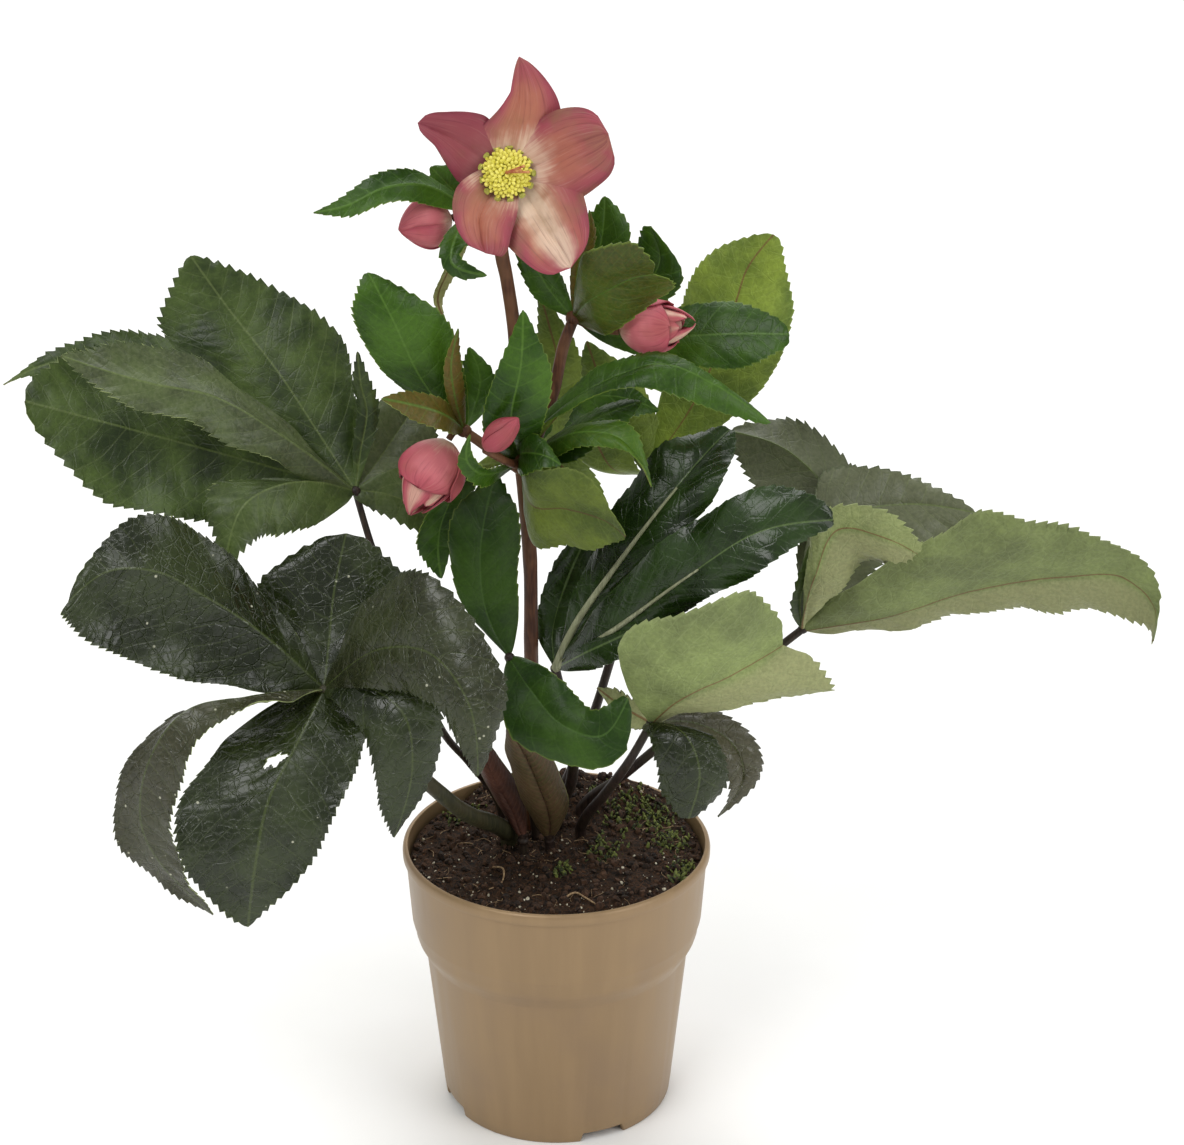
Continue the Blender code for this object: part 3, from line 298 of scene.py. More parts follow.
# Bloom: centre, the direction it faces, and its five sepals
BLOOM_CENTRE = (-17, -26, 416)
BLOOM_FACING = (0.03, -0.94, 0.33)
SEPALS = (
    Leaflet(((-15, -26, 428), (-12, -26, 444), (-12, -24, 460)), (-12, 3, 1), (17, 4, -1), 0.42, 0.7, 0.38,
            (-5, 0, 0), (18, 2, -2), 0.72, tone=(0.12, 0.0), point=0.0, curl=(2.5, 2.0)),
    Leaflet(((-5, -27, 420), (8, -32, 428), (21, -36, 434)), (-5, 2, 15), (9, 1, -16), 0.6, 0.4, 0.6,
            tone=(0.35, 0.0), point=0.0, curl=(1.0, 2.5)),
    Leaflet(((-9, -28, 407), (0, -37, 395), (7, -41, 384)), (14, 4, 12), (-13, 0, -9), 0.5, 0.42, 0.55,
            tone=(0.0, 0.8), point=0.0, curl=(1.5, 3.0)),
    Leaflet(((-22, -29, 410), (-27, -35, 401), (-25, -38, 389)), (11, -2, -6), (-10, 2, 6), 0.45, 0.32, 0.5,
            (12, -4, -3), (-9, 0, 3), 0.8, tone=(0.15, 0.0), point=0.0, curl=(2.0, 5.0)),
    Leaflet(((-26, -26, 422), (-38, -26, 430), (-50, -24, 435)), (-4, 3, -12), (6, 4, 12), 0.5, 0.5, 0.45,
            (-1, 0, -6), (5, 1, 10), 0.8, tone=(1.0, -1.0), point=0.0, curl=(5.0, 3.0)),
)

# Buds: base, tip, widest radius, how far the sepals' tips stand open, 0 to 1, and share of the rose colour
BUDS = {
    "bud_top_left": ((-39, -6, 393), (-59, -11, 390), 9.8, 0.0, 0.0),
    "bud_lower_left": ((-41, -25, 309), (-56, -36, 282), 13.0, 0.35, 0.0),
    "bud_front": ((-26, -46, 313.5), (-13, -51, 327.5), 5.3, 0.0, 0.9),
    "bud_right": ((26, -8, 348), (55, -15, 354), 10.5, 0.3, 0.1),
}


# Arithmetic on arrays
def unit(vectors: Array) -> Array:
    """Each vector divided by its length."""
    vectors = np.asarray(vectors, float)
    return vectors / np.maximum(np.linalg.norm(vectors, axis=-1, keepdims=True), 1e-9)


def ease(x: Array, low: float, high: float) -> Array:
    """0 below low, 1 above high, and 3t^2 - 2t^3 between."""
    t = np.clip((np.asarray(x, float) - low) / (high - low), 0.0, 1.0)
    return t * t * (3 - 2 * t)


def noise(points: Array, size: float, seed: int) -> Array:
    """Smooth noise from -1 to 1: random numbers on a cubic lattice, blended by eased distance.

    Args:
        points: positions in mm, shape (..., 3).
        size: the lattice's spacing in mm.
        seed: picks the random numbers.

    Returns:
        One value for each point.
    """
    side = 24
    lattice = np.random.default_rng(seed).uniform(-1, 1, (side, side, side))
    q = np.asarray(points, float) / size + 1000
    cell = np.floor(q).astype(int)
    t = q - cell
    t = t * t * (3 - 2 * t)
    out = np.zeros(q.shape[:-1])
    for corner in np.ndindex(2, 2, 2):
        weight = np.prod(np.where(corner, t, 1 - t), axis=-1)
        index = (cell + corner) % side
        out += weight * lattice[index[..., 0], index[..., 1], index[..., 2]]
    return out


def curve(points: tuple, shares: Array) -> tuple[Array, float]:
    """Points at shares of the length of a smooth curve: cubic pieces that meet with one slope, each timed by
    the square root of its chord, then measured along the arc.

    Args:
        points: two or more points that the curve runs through.
        shares: 0 to 1 along the arc.

    Returns:
        The points, and the curve's length.
    """
    pts = np.asarray(points, float)
    if len(pts) == 2:
        pts = np.array([pts[0], (pts[0] + pts[1]) / 2, pts[1]])
    h = np.sqrt(np.linalg.norm(np.diff(pts, axis=0), axis=1))
    step = np.diff(pts, axis=0) / h[:, None]
    slope = np.empty_like(pts)
    slope[1:-1] = (step[:-1] * h[1:, None] + step[1:] * h[:-1, None]) / (h[:-1] + h[1:])[:, None]
    slope[0] = 1.5 * step[0] - 0.5 * slope[1]
    slope[-1] = 1.5 * step[-1] - 0.5 * slope[-2]
    t = np.linspace(0, 1, 40, endpoint=False)[None, :, None]
    h = h[:, None, None]
    fine = ((2 * t**3 - 3 * t**2 + 1) * pts[:-1, None] + (t**3 - 2 * t**2 + t) * h * slope[:-1, None]
            + (3 * t**2 - 2 * t**3) * pts[1:, None] + (t**3 - t**2) * h * slope[1:, None]).reshape(-1, 3)
    fine = np.vstack((fine, pts[-1:]))
    run = np.concatenate(([0.0], np.cumsum(np.linalg.norm(np.diff(fine, axis=0), axis=1))))
    want = np.asarray(shares) * run[-1]
    return np.stack([np.interp(want, run, fine[:, k]) for k in range(3)], axis=-1), float(run[-1])


def fullness(s: Array, rise: float, fall: float) -> Array:
    """Blade width at the share s of its length: s^rise (1 - s)^fall, scaled to 1 where it is widest."""
    peak = rise / (rise + fall)
    return np.clip(s, 0, 1) ** rise * np.clip(1 - s, 0, 1) ** fall / (peak**rise * (1 - peak) ** fall)


def frame_about(ahead: Array) -> tuple[Array, Array]:
    """Two directions square to another and to each other.

    Args:
        ahead: a unit vector.

    Returns:
        Two unit vectors.
    """
    spare = np.array((0.0, 0.0, 1.0)) if abs(ahead[2]) < 0.9 else np.array((1.0, 0.0, 0.0))
    one = unit(np.cross(spare, ahead))
    return one, np.cross(ahead, one)


def turned(radius: Array, height: Array, sides: int) -> Array:
    """Rings of points round the Z axis.

    Args:
        radius: the rings' radii, (rows, 1) or (rows, sides).
        height: their heights, in the same way.
        sides: points in a ring.

    Returns:
        Points, (rows, sides, 3).
    """
    turn = 2 * np.pi * np.arange(sides) / sides
    return np.stack(np.broadcast_arrays(radius * np.cos(turn), radius * np.sin(turn), height), -1)


def sheet_normal(grid: Array, faced: Array | float = 0.0, limit: float = 0.0) -> Array:
    """The direction square to a grid of points, along (next column) x (next row).

    Args:
        grid: points, (rows, columns, 3).
        faced: the side that it should point to, where there is one.
        limit: it is turned round where its share of faced is below this.

    Returns:
        Unit vectors, one for each point.
    """
    normal = unit(np.cross(np.gradient(grid, axis=1), np.gradient(grid, axis=0)))
    return np.where((normal * faced).sum(-1, keepdims=True) < limit, -normal, normal)


def grid_quads(rows: int, columns: int, wrap: bool = False) -> Array:
    """Quads of a grid of points.

    Args:
        rows: rows of points.
        columns: points in a row.
        wrap: whether the last column joins the first.

    Returns:
        Quads, shape (n, 4), that face along (next column) x (next row).
    """
    i = np.arange(rows - 1)[:, None] * columns
    j = np.arange(columns if wrap else columns - 1)[None, :]
    k = (j + 1) % columns
    return np.stack((i + j, i + k, i + k + columns, i + j + columns), axis=-1).reshape(-1, 4)


# Materials
def colour(hexed: str) -> tuple[float, float, float, float]:
    """A linear colour from an sRGB hex value: c / 12.92 below 0.04045, ((c + 0.055) / 1.055)^2.4 above."""
    parts = [int(hexed.lstrip("#")[i:i + 2], 16) / 255 for i in (0, 2, 4)]
    return tuple(c / 12.92 if c <= 0.04045 else ((c + 0.055) / 1.055) ** 2.4 for c in parts) + (1.0,)


class Node(Enum):
    """The nodes in use: type, settings, the inputs that the values given go to in order, and the output."""
    BLEND = ("ShaderNodeMix", {"data_type": "RGBA", "clamp_factor": True}, (0, 6, 7), 2)
    SHIFT = ("ShaderNodeMix", {"data_type": "VECTOR"}, (0, 4, 5), 1)
    SCALE = ("ShaderNodeVectorMath", {"operation": "SCALE"}, (0, "Scale"), 0)
    BAND = ("ShaderNodeMapRange", {"interpolation_type": "SMOOTHSTEP"}, (0, 1, 2, 3, 4), 0)
    PLUS = ("ShaderNodeMath", {"operation": "ADD"}, (0, 1), 0)
    MINUS = ("ShaderNodeMath", {"operation": "SUBTRACT"}, (0, 1), 0)
    TIMES = ("ShaderNodeMath", {"operation": "MULTIPLY"}, (0, 1), 0)
    MOST = ("ShaderNodeMath", {"operation": "MAXIMUM"}, (0, 1), 0)
    SIZE = ("ShaderNodeMath", {"operation": "ABSOLUTE"}, (0,), 0)
    FOLD = ("ShaderNodeMath", {"operation": "PINGPONG"}, (0, 1), 0)
    NOISE = ("ShaderNodeTexNoise", {}, ("Vector", "Scale", "Detail", "Roughness"), 0)
    NOISE_VECTOR = ("ShaderNodeTexNoise", {}, ("Vector", "Scale", "Detail"), "Color")
    DOTS = ("ShaderNodeTexVoronoi", {"feature": "F1"}, ("Vector", "Scale"), 0)
    CRACKS = ("ShaderNodeTexVoronoi", {"feature": "DISTANCE_TO_EDGE"}, ("Vector", "Scale"), 0)
    STRETCH = ("ShaderNodeMapping", {}, ("Vector", "Scale"), 0)
    BUMP = ("ShaderNodeBump", {}, ("Strength", "Distance", "Height"), 0)
    PLACE = ("ShaderNodeTexCoord", {}, (), "Object")
    RUN = ("ShaderNodeAttribute", {"attribute_name": "run"}, (), "Vector")
    LOOK = ("ShaderNodeAttribute", {"attribute_name": "look"}, (), "Vector")
    UV = ("ShaderNodeUVMap", {"uv_map": "place"}, (), 0)
    X = ("ShaderNodeSeparateXYZ", {}, (0,), 0)
    Y = ("ShaderNodeSeparateXYZ", {}, (0,), 1)
    Z = ("ShaderNodeSeparateXYZ", {}, (0,), 2)


def feed(tree: bpy.types.NodeTree, socket: bpy.types.NodeSocket, value: object) -> None:
    """Gives an input its value.

    Args:
        tree: the material's nodes.
        socket: the input.
        value: a number, a vector, a hex colour or a socket to link from.
    """
    if isinstance(value, bpy.types.NodeSocket):
        tree.links.new(value, socket)
    else:
        socket.default_value = colour(value) if isinstance(value, str) else value


def add_node(tree: bpy.types.NodeTree, kind: Node, *values: object) -> bpy.types.NodeSocket:
    """Adds a node with its settings and links.

    Args:
        tree: the material's nodes.
        kind: which node.
        values: what its inputs are fed, in order.

    Returns:
        Its output.
    """
    name, settings, inputs, output = kind.value
    node = tree.nodes.new(name)
    for key, value in settings.items():
        setattr(node, key, value)
    for key, value in zip(inputs, values):
        feed(tree, node.inputs[key], value)
    return node.outputs[output]


def layered(add: Callable, base: object, *layers: tuple) -> object:
    """Lays colours over a base colour.

    Args:
        add: adds a node to the material.
        base: the colour below.
        layers: (share, colour), the lowest first.

    Returns:
        The colour on top.
    """
    for share, over in layers:
        base = add(Node.BLEND, share, base, over)
    return base


@dataclass(frozen=True)
class Finish:
    """A material, made the first time that a piece wears it."""
    name: str

    def sockets(self, add: Callable) -> dict:
        """What feeds the shader's sockets, by name, made with nodes that add() adds."""
        raise NotImplementedError

    @cache
    def material(self) -> bpy.types.Material:
        """Builds the material around its shader.

        Returns:
            The material.
        """
        made = bpy.data.materials.new(self.name)
        made.use_nodes = True
        tree = made.node_tree
        for name, value in self.sockets(partial(add_node, tree)).items():
            feed(tree, tree.nodes["Principled BSDF"].inputs[name], value)
        return made


@dataclass(frozen=True)
class LeafTissue(Finish):
    """Leaf skin: two greens in soft patches, paler veins in three orders, puckered between them.

    vein_mm is the spacing of the side veins and net_mm that of the finest meshes, both drawn a little coarser
    than life so that they show. relief and crackle are how deep the skin and its finest veins stand, and
    specks is how strong the grains of dust on it are.
    """
    deep: str
    mid: str
    second: str
    vein: str
    midrib: str
    margin: str
    roughness: float
    gloss: float
    relief: float
    vein_mm: float
    net_mm: float
    vein_share: float
    net_share: float = 0.05
    specks: float = 0.0
    crackle: float = 0.2

    def sockets(self, add: Callable) -> dict:
        """What feeds the shader's sockets.

        Args:
            add: adds a node to the material.

        Returns:
            Values by socket name.
        """
        place, run, look = add(Node.PLACE), add(Node.RUN), add(Node.LOOK)
        second, lightening = add(Node.X, look), add(Node.Y, look)
        from_vein = add(Node.TIMES, add(Node.FOLD, add(Node.Z, run), 0.5), self.vein_mm)
        side = add(Node.BAND, from_vein, 0.12, 0.55, 1.0, 0.0)
        middle = add(Node.BAND, add(Node.SIZE, add(Node.X, run)), 0.2, 0.65, 1.0, 0.0)
        bent = add(Node.SHIFT, 0.0016, place, add(Node.NOISE_VECTOR, place, 260.0, 2.0))
        net = add(Node.BAND, add(Node.CRACKS, bent, 1000.0 / self.net_mm), 0.02, 0.09, 1.0, 0.0)
        coarse = add(Node.BAND, add(Node.CRACKS, bent, 420.0 / self.net_mm), 0.01, 0.045, 1.0, 0.0)
        patches = add(Node.NOISE, place, 38.0, 4.0, 0.6)
        grain = add(Node.NOISE, place, 700.0, 3.0)
        uneven = add(Node.PLUS, second, add(Node.TIMES, add(Node.MINUS, grain, 0.5), 0.5))
        # the second colour where the look asks for it: each blade's own tone, and painted shade on the half
        # of a folded blade turned from the light
        tone_and_shade = add(Node.TIMES, add(Node.BAND, uneven, 0.0, 1.0), add(Node.BAND, second, 0.0, 0.1))
        fine = add(Node.MOST, add(Node.TIMES, net, self.net_share),
                   add(Node.TIMES, coarse, self.net_share * 1.5))
        veins = add(Node.MOST, fine, add(Node.TIMES, side, self.vein_share))
        edge = add(Node.SIZE, add(Node.MINUS, add(Node.X, add(Node.UV)), 0.5))
        base = layered(
            add, self.deep, (add(Node.BAND, patches, 0.35, 0.66), self.mid), (tone_and_shade, self.second),
            (veins, self.vein), (add(Node.TIMES, middle, 0.65), self.midrib),
            (add(Node.BAND, edge, 0.475, 0.5, 0.0, 0.6), self.margin))
        light = add(Node.TIMES, add(Node.PLUS, 1.0, lightening), add(Node.BAND, grain, 0.3, 0.7, 0.9, 1.1))
        base = add(Node.SCALE, base, light)
        if self.specks:
            dot = add(Node.BAND, add(Node.DOTS, place, 190.0), 0.07, 0.13, 1.0, 0.0)
            chance = add(Node.BAND, add(Node.NOISE, place, 55.0, 1.0), 0.54, 0.6, 0.0, self.specks)
            base = layered(add, base, (add(Node.TIMES, dot, chance), "#b9b9a2"))
        cracks = add(Node.TIMES, add(Node.PLUS, coarse, add(Node.TIMES, net, 0.4)), self.crackle)
        low = add(Node.PLUS, add(Node.PLUS, fine, veins), cracks)
        height = add(Node.MINUS, add(Node.TIMES, grain, 0.25), low)
        return {"Base Color": base, "Specular IOR Level": self.gloss,
                "Roughness": add(Node.BAND, patches, 0.3, 0.7, self.roughness - 0.06, self.roughness + 0.08),
                "Normal": add(Node.BUMP, self.relief, 0.0006, height)}


@dataclass(frozen=True)
class StalkSkin(Finish):
    """Smooth herbaceous stalk, streaked lengthwise, darker in patches."""
    deep: str
    light: str
    blush: str

    def sockets(self, add: Callable) -> dict:
        """What feeds the shader's sockets.

        Args:
            add: adds a node to the material.

        Returns:
            Values by socket name.
        """
        place = add(Node.PLACE)
        streak = add(Node.NOISE, add(Node.STRETCH, place, (900.0, 900.0, 60.0)), 1.0, 3.0)
        patch = add(Node.NOISE, place, 55.0, 3.0)
        base = layered(add, self.deep, (add(Node.BAND, streak, 0.35, 0.7), self.light),
                       (add(Node.BAND, patch, 0.42, 0.66, 0.0, 0.8), self.blush))
        return {"Base Color": base, "Roughness": 0.5, "Specular IOR Level": 0.3,
                "Normal": add(Node.BUMP, 0.3, 0.0004, streak)}


@dataclass(frozen=True)
class SepalTissue(Finish):
    """Sepal: pale at the claw, dusty orange in the middle and rose at the margin and tip, with fine streaks
    that run lengthwise. It is soft and matt, and a little light passes through it."""
    claw: str
    middle: str
    rose: str
    tip: str
    claw_end: float
    shade: str = "#8d6a48"

    def sockets(self, add: Callable) -> dict:
        """What feeds the shader's sockets.

        Args:
            add: adds a node to the material.

        Returns:
            Values by socket name.
        """
        uv, look = add(Node.UV), add(Node.LOOK)
        rosy, pale = add(Node.X, look), add(Node.Y, look)
        streak = add(Node.NOISE, add(Node.STRETCH, uv, (34.0, 1.6, 1.0)), 1.0, 4.0, 0.65)
        cloud = add(Node.NOISE, add(Node.PLACE), 70.0, 3.0)
        shift = add(Node.PLUS, add(Node.TIMES, add(Node.MINUS, streak, 0.5), 0.5),
                    add(Node.TIMES, add(Node.MINUS, cloud, 0.5), 0.7))
        along = add(Node.PLUS, add(Node.Y, uv), shift)
        edge = add(Node.TIMES, add(Node.SIZE, add(Node.MINUS, add(Node.X, uv), 0.5)), 2.0)
        edge = add(Node.PLUS, edge, shift)
        blush = add(Node.MOST, add(Node.BAND, edge, 0.3, 0.9), add(Node.BAND, along, 0.55, 1.0))
        blush = add(Node.TIMES, blush, add(Node.BAND, along, 0.1, 0.5))
        inner = add(Node.TIMES, pale, add(Node.BAND, edge, 0.12, 0.6, 1.0, 0.0))
        lines = add(Node.TIMES, add(Node.BAND, streak, 0.5, 0.34, 0.0, 0.5), add(Node.BAND, along, 0.3, 0.6))
        base = layered(
            add, self.claw, (add(Node.BAND, along, self.claw_end - 0.22, self.claw_end + 0.22), self.middle),
            (blush, self.rose), (add(Node.TIMES, rosy, 0.8), self.rose), (inner, self.claw),
            (add(Node.BAND, edge, 0.8, 1.06, 0.0, 0.6), self.tip),
            (add(Node.BAND, streak, 0.52, 0.72, 0.0, 0.16), self.claw),
            (add(Node.BAND, cloud, 0.48, 0.7, 0.0, 0.5), self.shade), (lines, self.tip))
        dark = layered(add, base, (0.45, self.tip))
        return {"Base Color": layered(add, base, (add(Node.TIMES, pale, -1.0), dark)), "Roughness": 0.55,
                "Specular IOR Level": 0.35, "Subsurface Weight": 0.12,
                "Subsurface Radius": (0.0012, 0.0006, 0.0004), "Normal": add(Node.BUMP, 0.25, 0.0003, streak)}


@dataclass(frozen=True)
class Powder(Finish):
    """A matt grained surface in two colours, such as pollen sacs, crumbs of peat or perlite."""
    first: str
    second: str
    grain_mm: float
    roughness: float
    relief: float

    def sockets(self, add: Callable) -> dict:
        """What feeds the shader's sockets.

        Args:
            add: adds a node to the material.

        Returns:
            Values by socket name.
        """
        grain = add(Node.NOISE, add(Node.PLACE), 1000.0 / self.grain_mm, 4.0, 0.7)
        share = add(Node.PLUS, add(Node.BAND, grain, 0.35, 0.68),
                    add(Node.TIMES, add(Node.X, add(Node.LOOK)), 0.7))
        return {"Base Color": layered(add, self.first, (share, self.second)), "Roughness": self.roughness,
                "Normal": add(Node.BUMP, self.relief, 0.0004, grain)}


@dataclass(frozen=True)
class PotPlastic(Finish):
    """Injection-moulded polypropylene, pigmented bronze with fine pearl flakes: satin, with faint flow marks
    that run down the wall."""
    base: str
    light: str
    dull: str

    def sockets(self, add: Callable) -> dict:
        """What feeds the shader's sockets.

        Args:
            add: adds a node to the material.

        Returns:
            Values by socket name.
        """
        place = add(Node.PLACE)
        flow = add(Node.NOISE, add(Node.STRETCH, place, (150.0, 150.0, 4.0)), 1.0, 4.0)
        cloud = add(Node.NOISE, place, 26.0, 3.0)
        flakes = add(Node.NOISE, place, 2600.0, 2.0)
        base = layered(add, self.base, (add(Node.BAND, flow, 0.25, 0.8), self.light),
                       (add(Node.BAND, cloud, 0.45, 0.75, 0.0, 0.45), self.dull),
                       (add(Node.BAND, flakes, 0.55, 0.75, 0.0, 0.25), self.light))
        return {"Base Color": base, "Metallic": 0.25, "Specular IOR Level": 0.5,
                "Roughness": add(Node.BAND, flow, 0.3, 0.7, 0.36, 0.46),
                "Normal": add(Node.BUMP, 0.12, 0.0002, flakes)}


@dataclass(frozen=True)
class PeatGround(Finish):
    """Moist sphagnum peat: dark brown with rusty fibres and near-black pores."""
    deep: str
    mid: str
    rust: str

    def sockets(self, add: Callable) -> dict:
        """What feeds the shader's sockets.

        Args:
            add: adds a node to the material.

        Returns:
            Values by socket name.
        """
        place = add(Node.PLACE)
        lumps = add(Node.NOISE, place, 240.0, 6.0, 0.75)
        fibre = add(Node.BAND, add(Node.CRACKS, place, 420.0), 0.0, 0.05, 0.5, 0.0)
        base = layered(add, self.deep, (add(Node.BAND, lumps, 0.36, 0.62), self.mid), (fibre, self.rust))
        return {"Base Color": base, "Roughness": 0.92, "Specular IOR Level": 0.3,
                "Normal": add(Node.BUMP, 0.9, 0.0015, lumps)}


@dataclass(frozen=True)
class Paper(Finish):
    """Matt background paper with a faint tone in it."""
    first: str
    second: str

    def sockets(self, add: Callable) -> dict:
        """What feeds the shader's sockets.

        Args:
            add: adds a node to the material.

        Returns:
            Values by socket name.
        """
        tone = add(Node.NOISE, add(Node.PLACE), 30.0)
        return {"Base Color": layered(add, self.first, (tone, self.second)), "Roughness": 0.9,
                "Specular IOR Level": 0.2}


# Leaf skins: old blades are dark and leathery, young ones shine, and undersides are pale and matt
OLD_UPPER = LeafTissue(
    "leaf_old_cuticle", "#233112", "#465824", "#585c44", "#63703f", "#5c6a3a", "#3a4726",
    roughness=0.38, gloss=0.3, relief=0.35, vein_mm=9.5, net_mm=4.2, vein_share=0.24)
DEEP_UPPER = LeafTissue(
    "leaf_oldest_cuticle", "#161e09", "#2b3517", "#464331", "#566138", "#47522a", "#2c3519",
    roughness=0.25, gloss=0.42, relief=0.5, vein_mm=9.5, net_mm=3.6, vein_share=0.2, specks=0.8, crackle=0.8)
# Its grey-beige second colour also stands for painted shade on the halves of folded blades that turn from the
# light.
PALE_UNDER = LeafTissue(
    "leaf_pale_underside", "#6b7648", "#86945a", "#919467", "#9ca874", "#74402f", "#8f9a66",
    roughness=0.55, gloss=0.25, relief=0.5, vein_mm=9.5, net_mm=3.6, vein_share=0.22, net_share=0.1)
GLOSSY_UPPER = LeafTissue(
    "leaf_young_gloss", "#132208", "#243a10", "#3a4a2a", "#415726", "#5c7040", "#2f4419",
    roughness=0.23, gloss=0.4, relief=0.4, vein_mm=9.0, net_mm=4.4, vein_share=0.2, net_share=0.04)
FRONT_UPPER = LeafTissue(
    "leaf_front_green", "#1f370d", "#365217", "#3a4a2a", "#47622a", "#44602a", "#6d7f34",
    roughness=0.4, gloss=0.2, relief=0.35, vein_mm=9.0, net_mm=4.4, vein_share=0.2, net_share=0.04)
BRACT_UPPER = LeafTissue(
    "bract_upper", "#213c08", "#3d5e12", "#5b481c", "#52732a", "#4d6d26", "#6f8430",
    roughness=0.36, gloss=0.25, relief=0.35, vein_mm=7.5, net_mm=3.4, vein_share=0.24)
BRACT_UNDER = LeafTissue(
    "bract_underside", "#526427", "#7a8c36", "#928f60", "#87984a", "#6a3a30", "#7f8f44",
    roughness=0.5, gloss=0.25, relief=0.4, vein_mm=7.5, net_mm=3.4, vein_share=0.24, net_share=0.1)
SCALE_SKIN = LeafTissue(
    "sheath_scale", "#2e1a15", "#58362a", "#474a26", "#6b4838", "#40261e", "#7c7c40",
    roughness=0.5, gloss=0.3, relief=0.4, vein_mm=3.0, net_mm=5.0, vein_share=0.35)
# Stalks: smooth and dull, purple or grey on leaves and red-brown on the flowering stem
PETIOLE_PURPLE = StalkSkin("petiole_purple", "#201714", "#382a24", "#302a1c")
PETIOLE_GREY = StalkSkin("petiole_grey_green", "#28291a", "#403f29", "#3a3420")
RIB_PALE = StalkSkin("midrib_pale_flesh", "#7d8063", "#a4a688", "#8d9070")
STEM_RED = StalkSkin("stem_red_brown", "#3f2114", "#5f3a26", "#745036")
# Sepals: soft and matt, paler inside the bloom than on its back
SEPAL_FACE = SepalTissue("sepal_face", "#dec7ae", "#ab6b52", "#98424f", "#6a2432", 0.3)
SEPAL_BACK = SepalTissue("sepal_back", "#9c7454", "#90504f", "#823a46", "#6c2834", 0.2)
BUD_SKIN = SepalTissue("bud_sepal", "#e0c2a8", "#c26a70", "#b04c5a", "#7a2836", 0.05, "#a05a50")
# Grained surfaces: mealy anthers, fleshy styles and nectaries, crumbs, perlite, moss and fibres
POLLEN = Powder("anther_pollen", "#c9bf34", "#efe673", 0.8, 0.8, 0.4)
STYLE_SKIN = Powder("style_flesh", "#9a4426", "#c98f52", 2.0, 0.5, 0.1)
NECTARY_SKIN = Powder("nectary_flesh", "#8f9438", "#b8b858", 1.5, 0.45, 0.1)
PEAT_CRUMB = Powder("peat_crumb", "#150d07", "#4b3220", 1.2, 0.95, 0.8)
PERLITE = Powder("perlite_grain", "#9a9078", "#d6cfba", 0.8, 0.9, 0.5)
MOSS = Powder("moss_tuft", "#1b240e", "#6e7733", 1.0, 0.8, 0.3)
ROOT_SKIN = Powder("root_fibre", "#6e5238", "#b39872", 1.0, 0.7, 0.2)
# Pot, peat and background
POT_PLASTIC = PotPlastic("pot_bronze_polypropylene", "#8f7656", "#987e5c", "#866f58")
PEAT = PeatGround("peat_moist_sphagnum", "#120b06", "#332112", "#6a4426")
FLOOR_PAPER = Paper("floor_pale_paper", "#f2f2f0", "#f5f5f4")


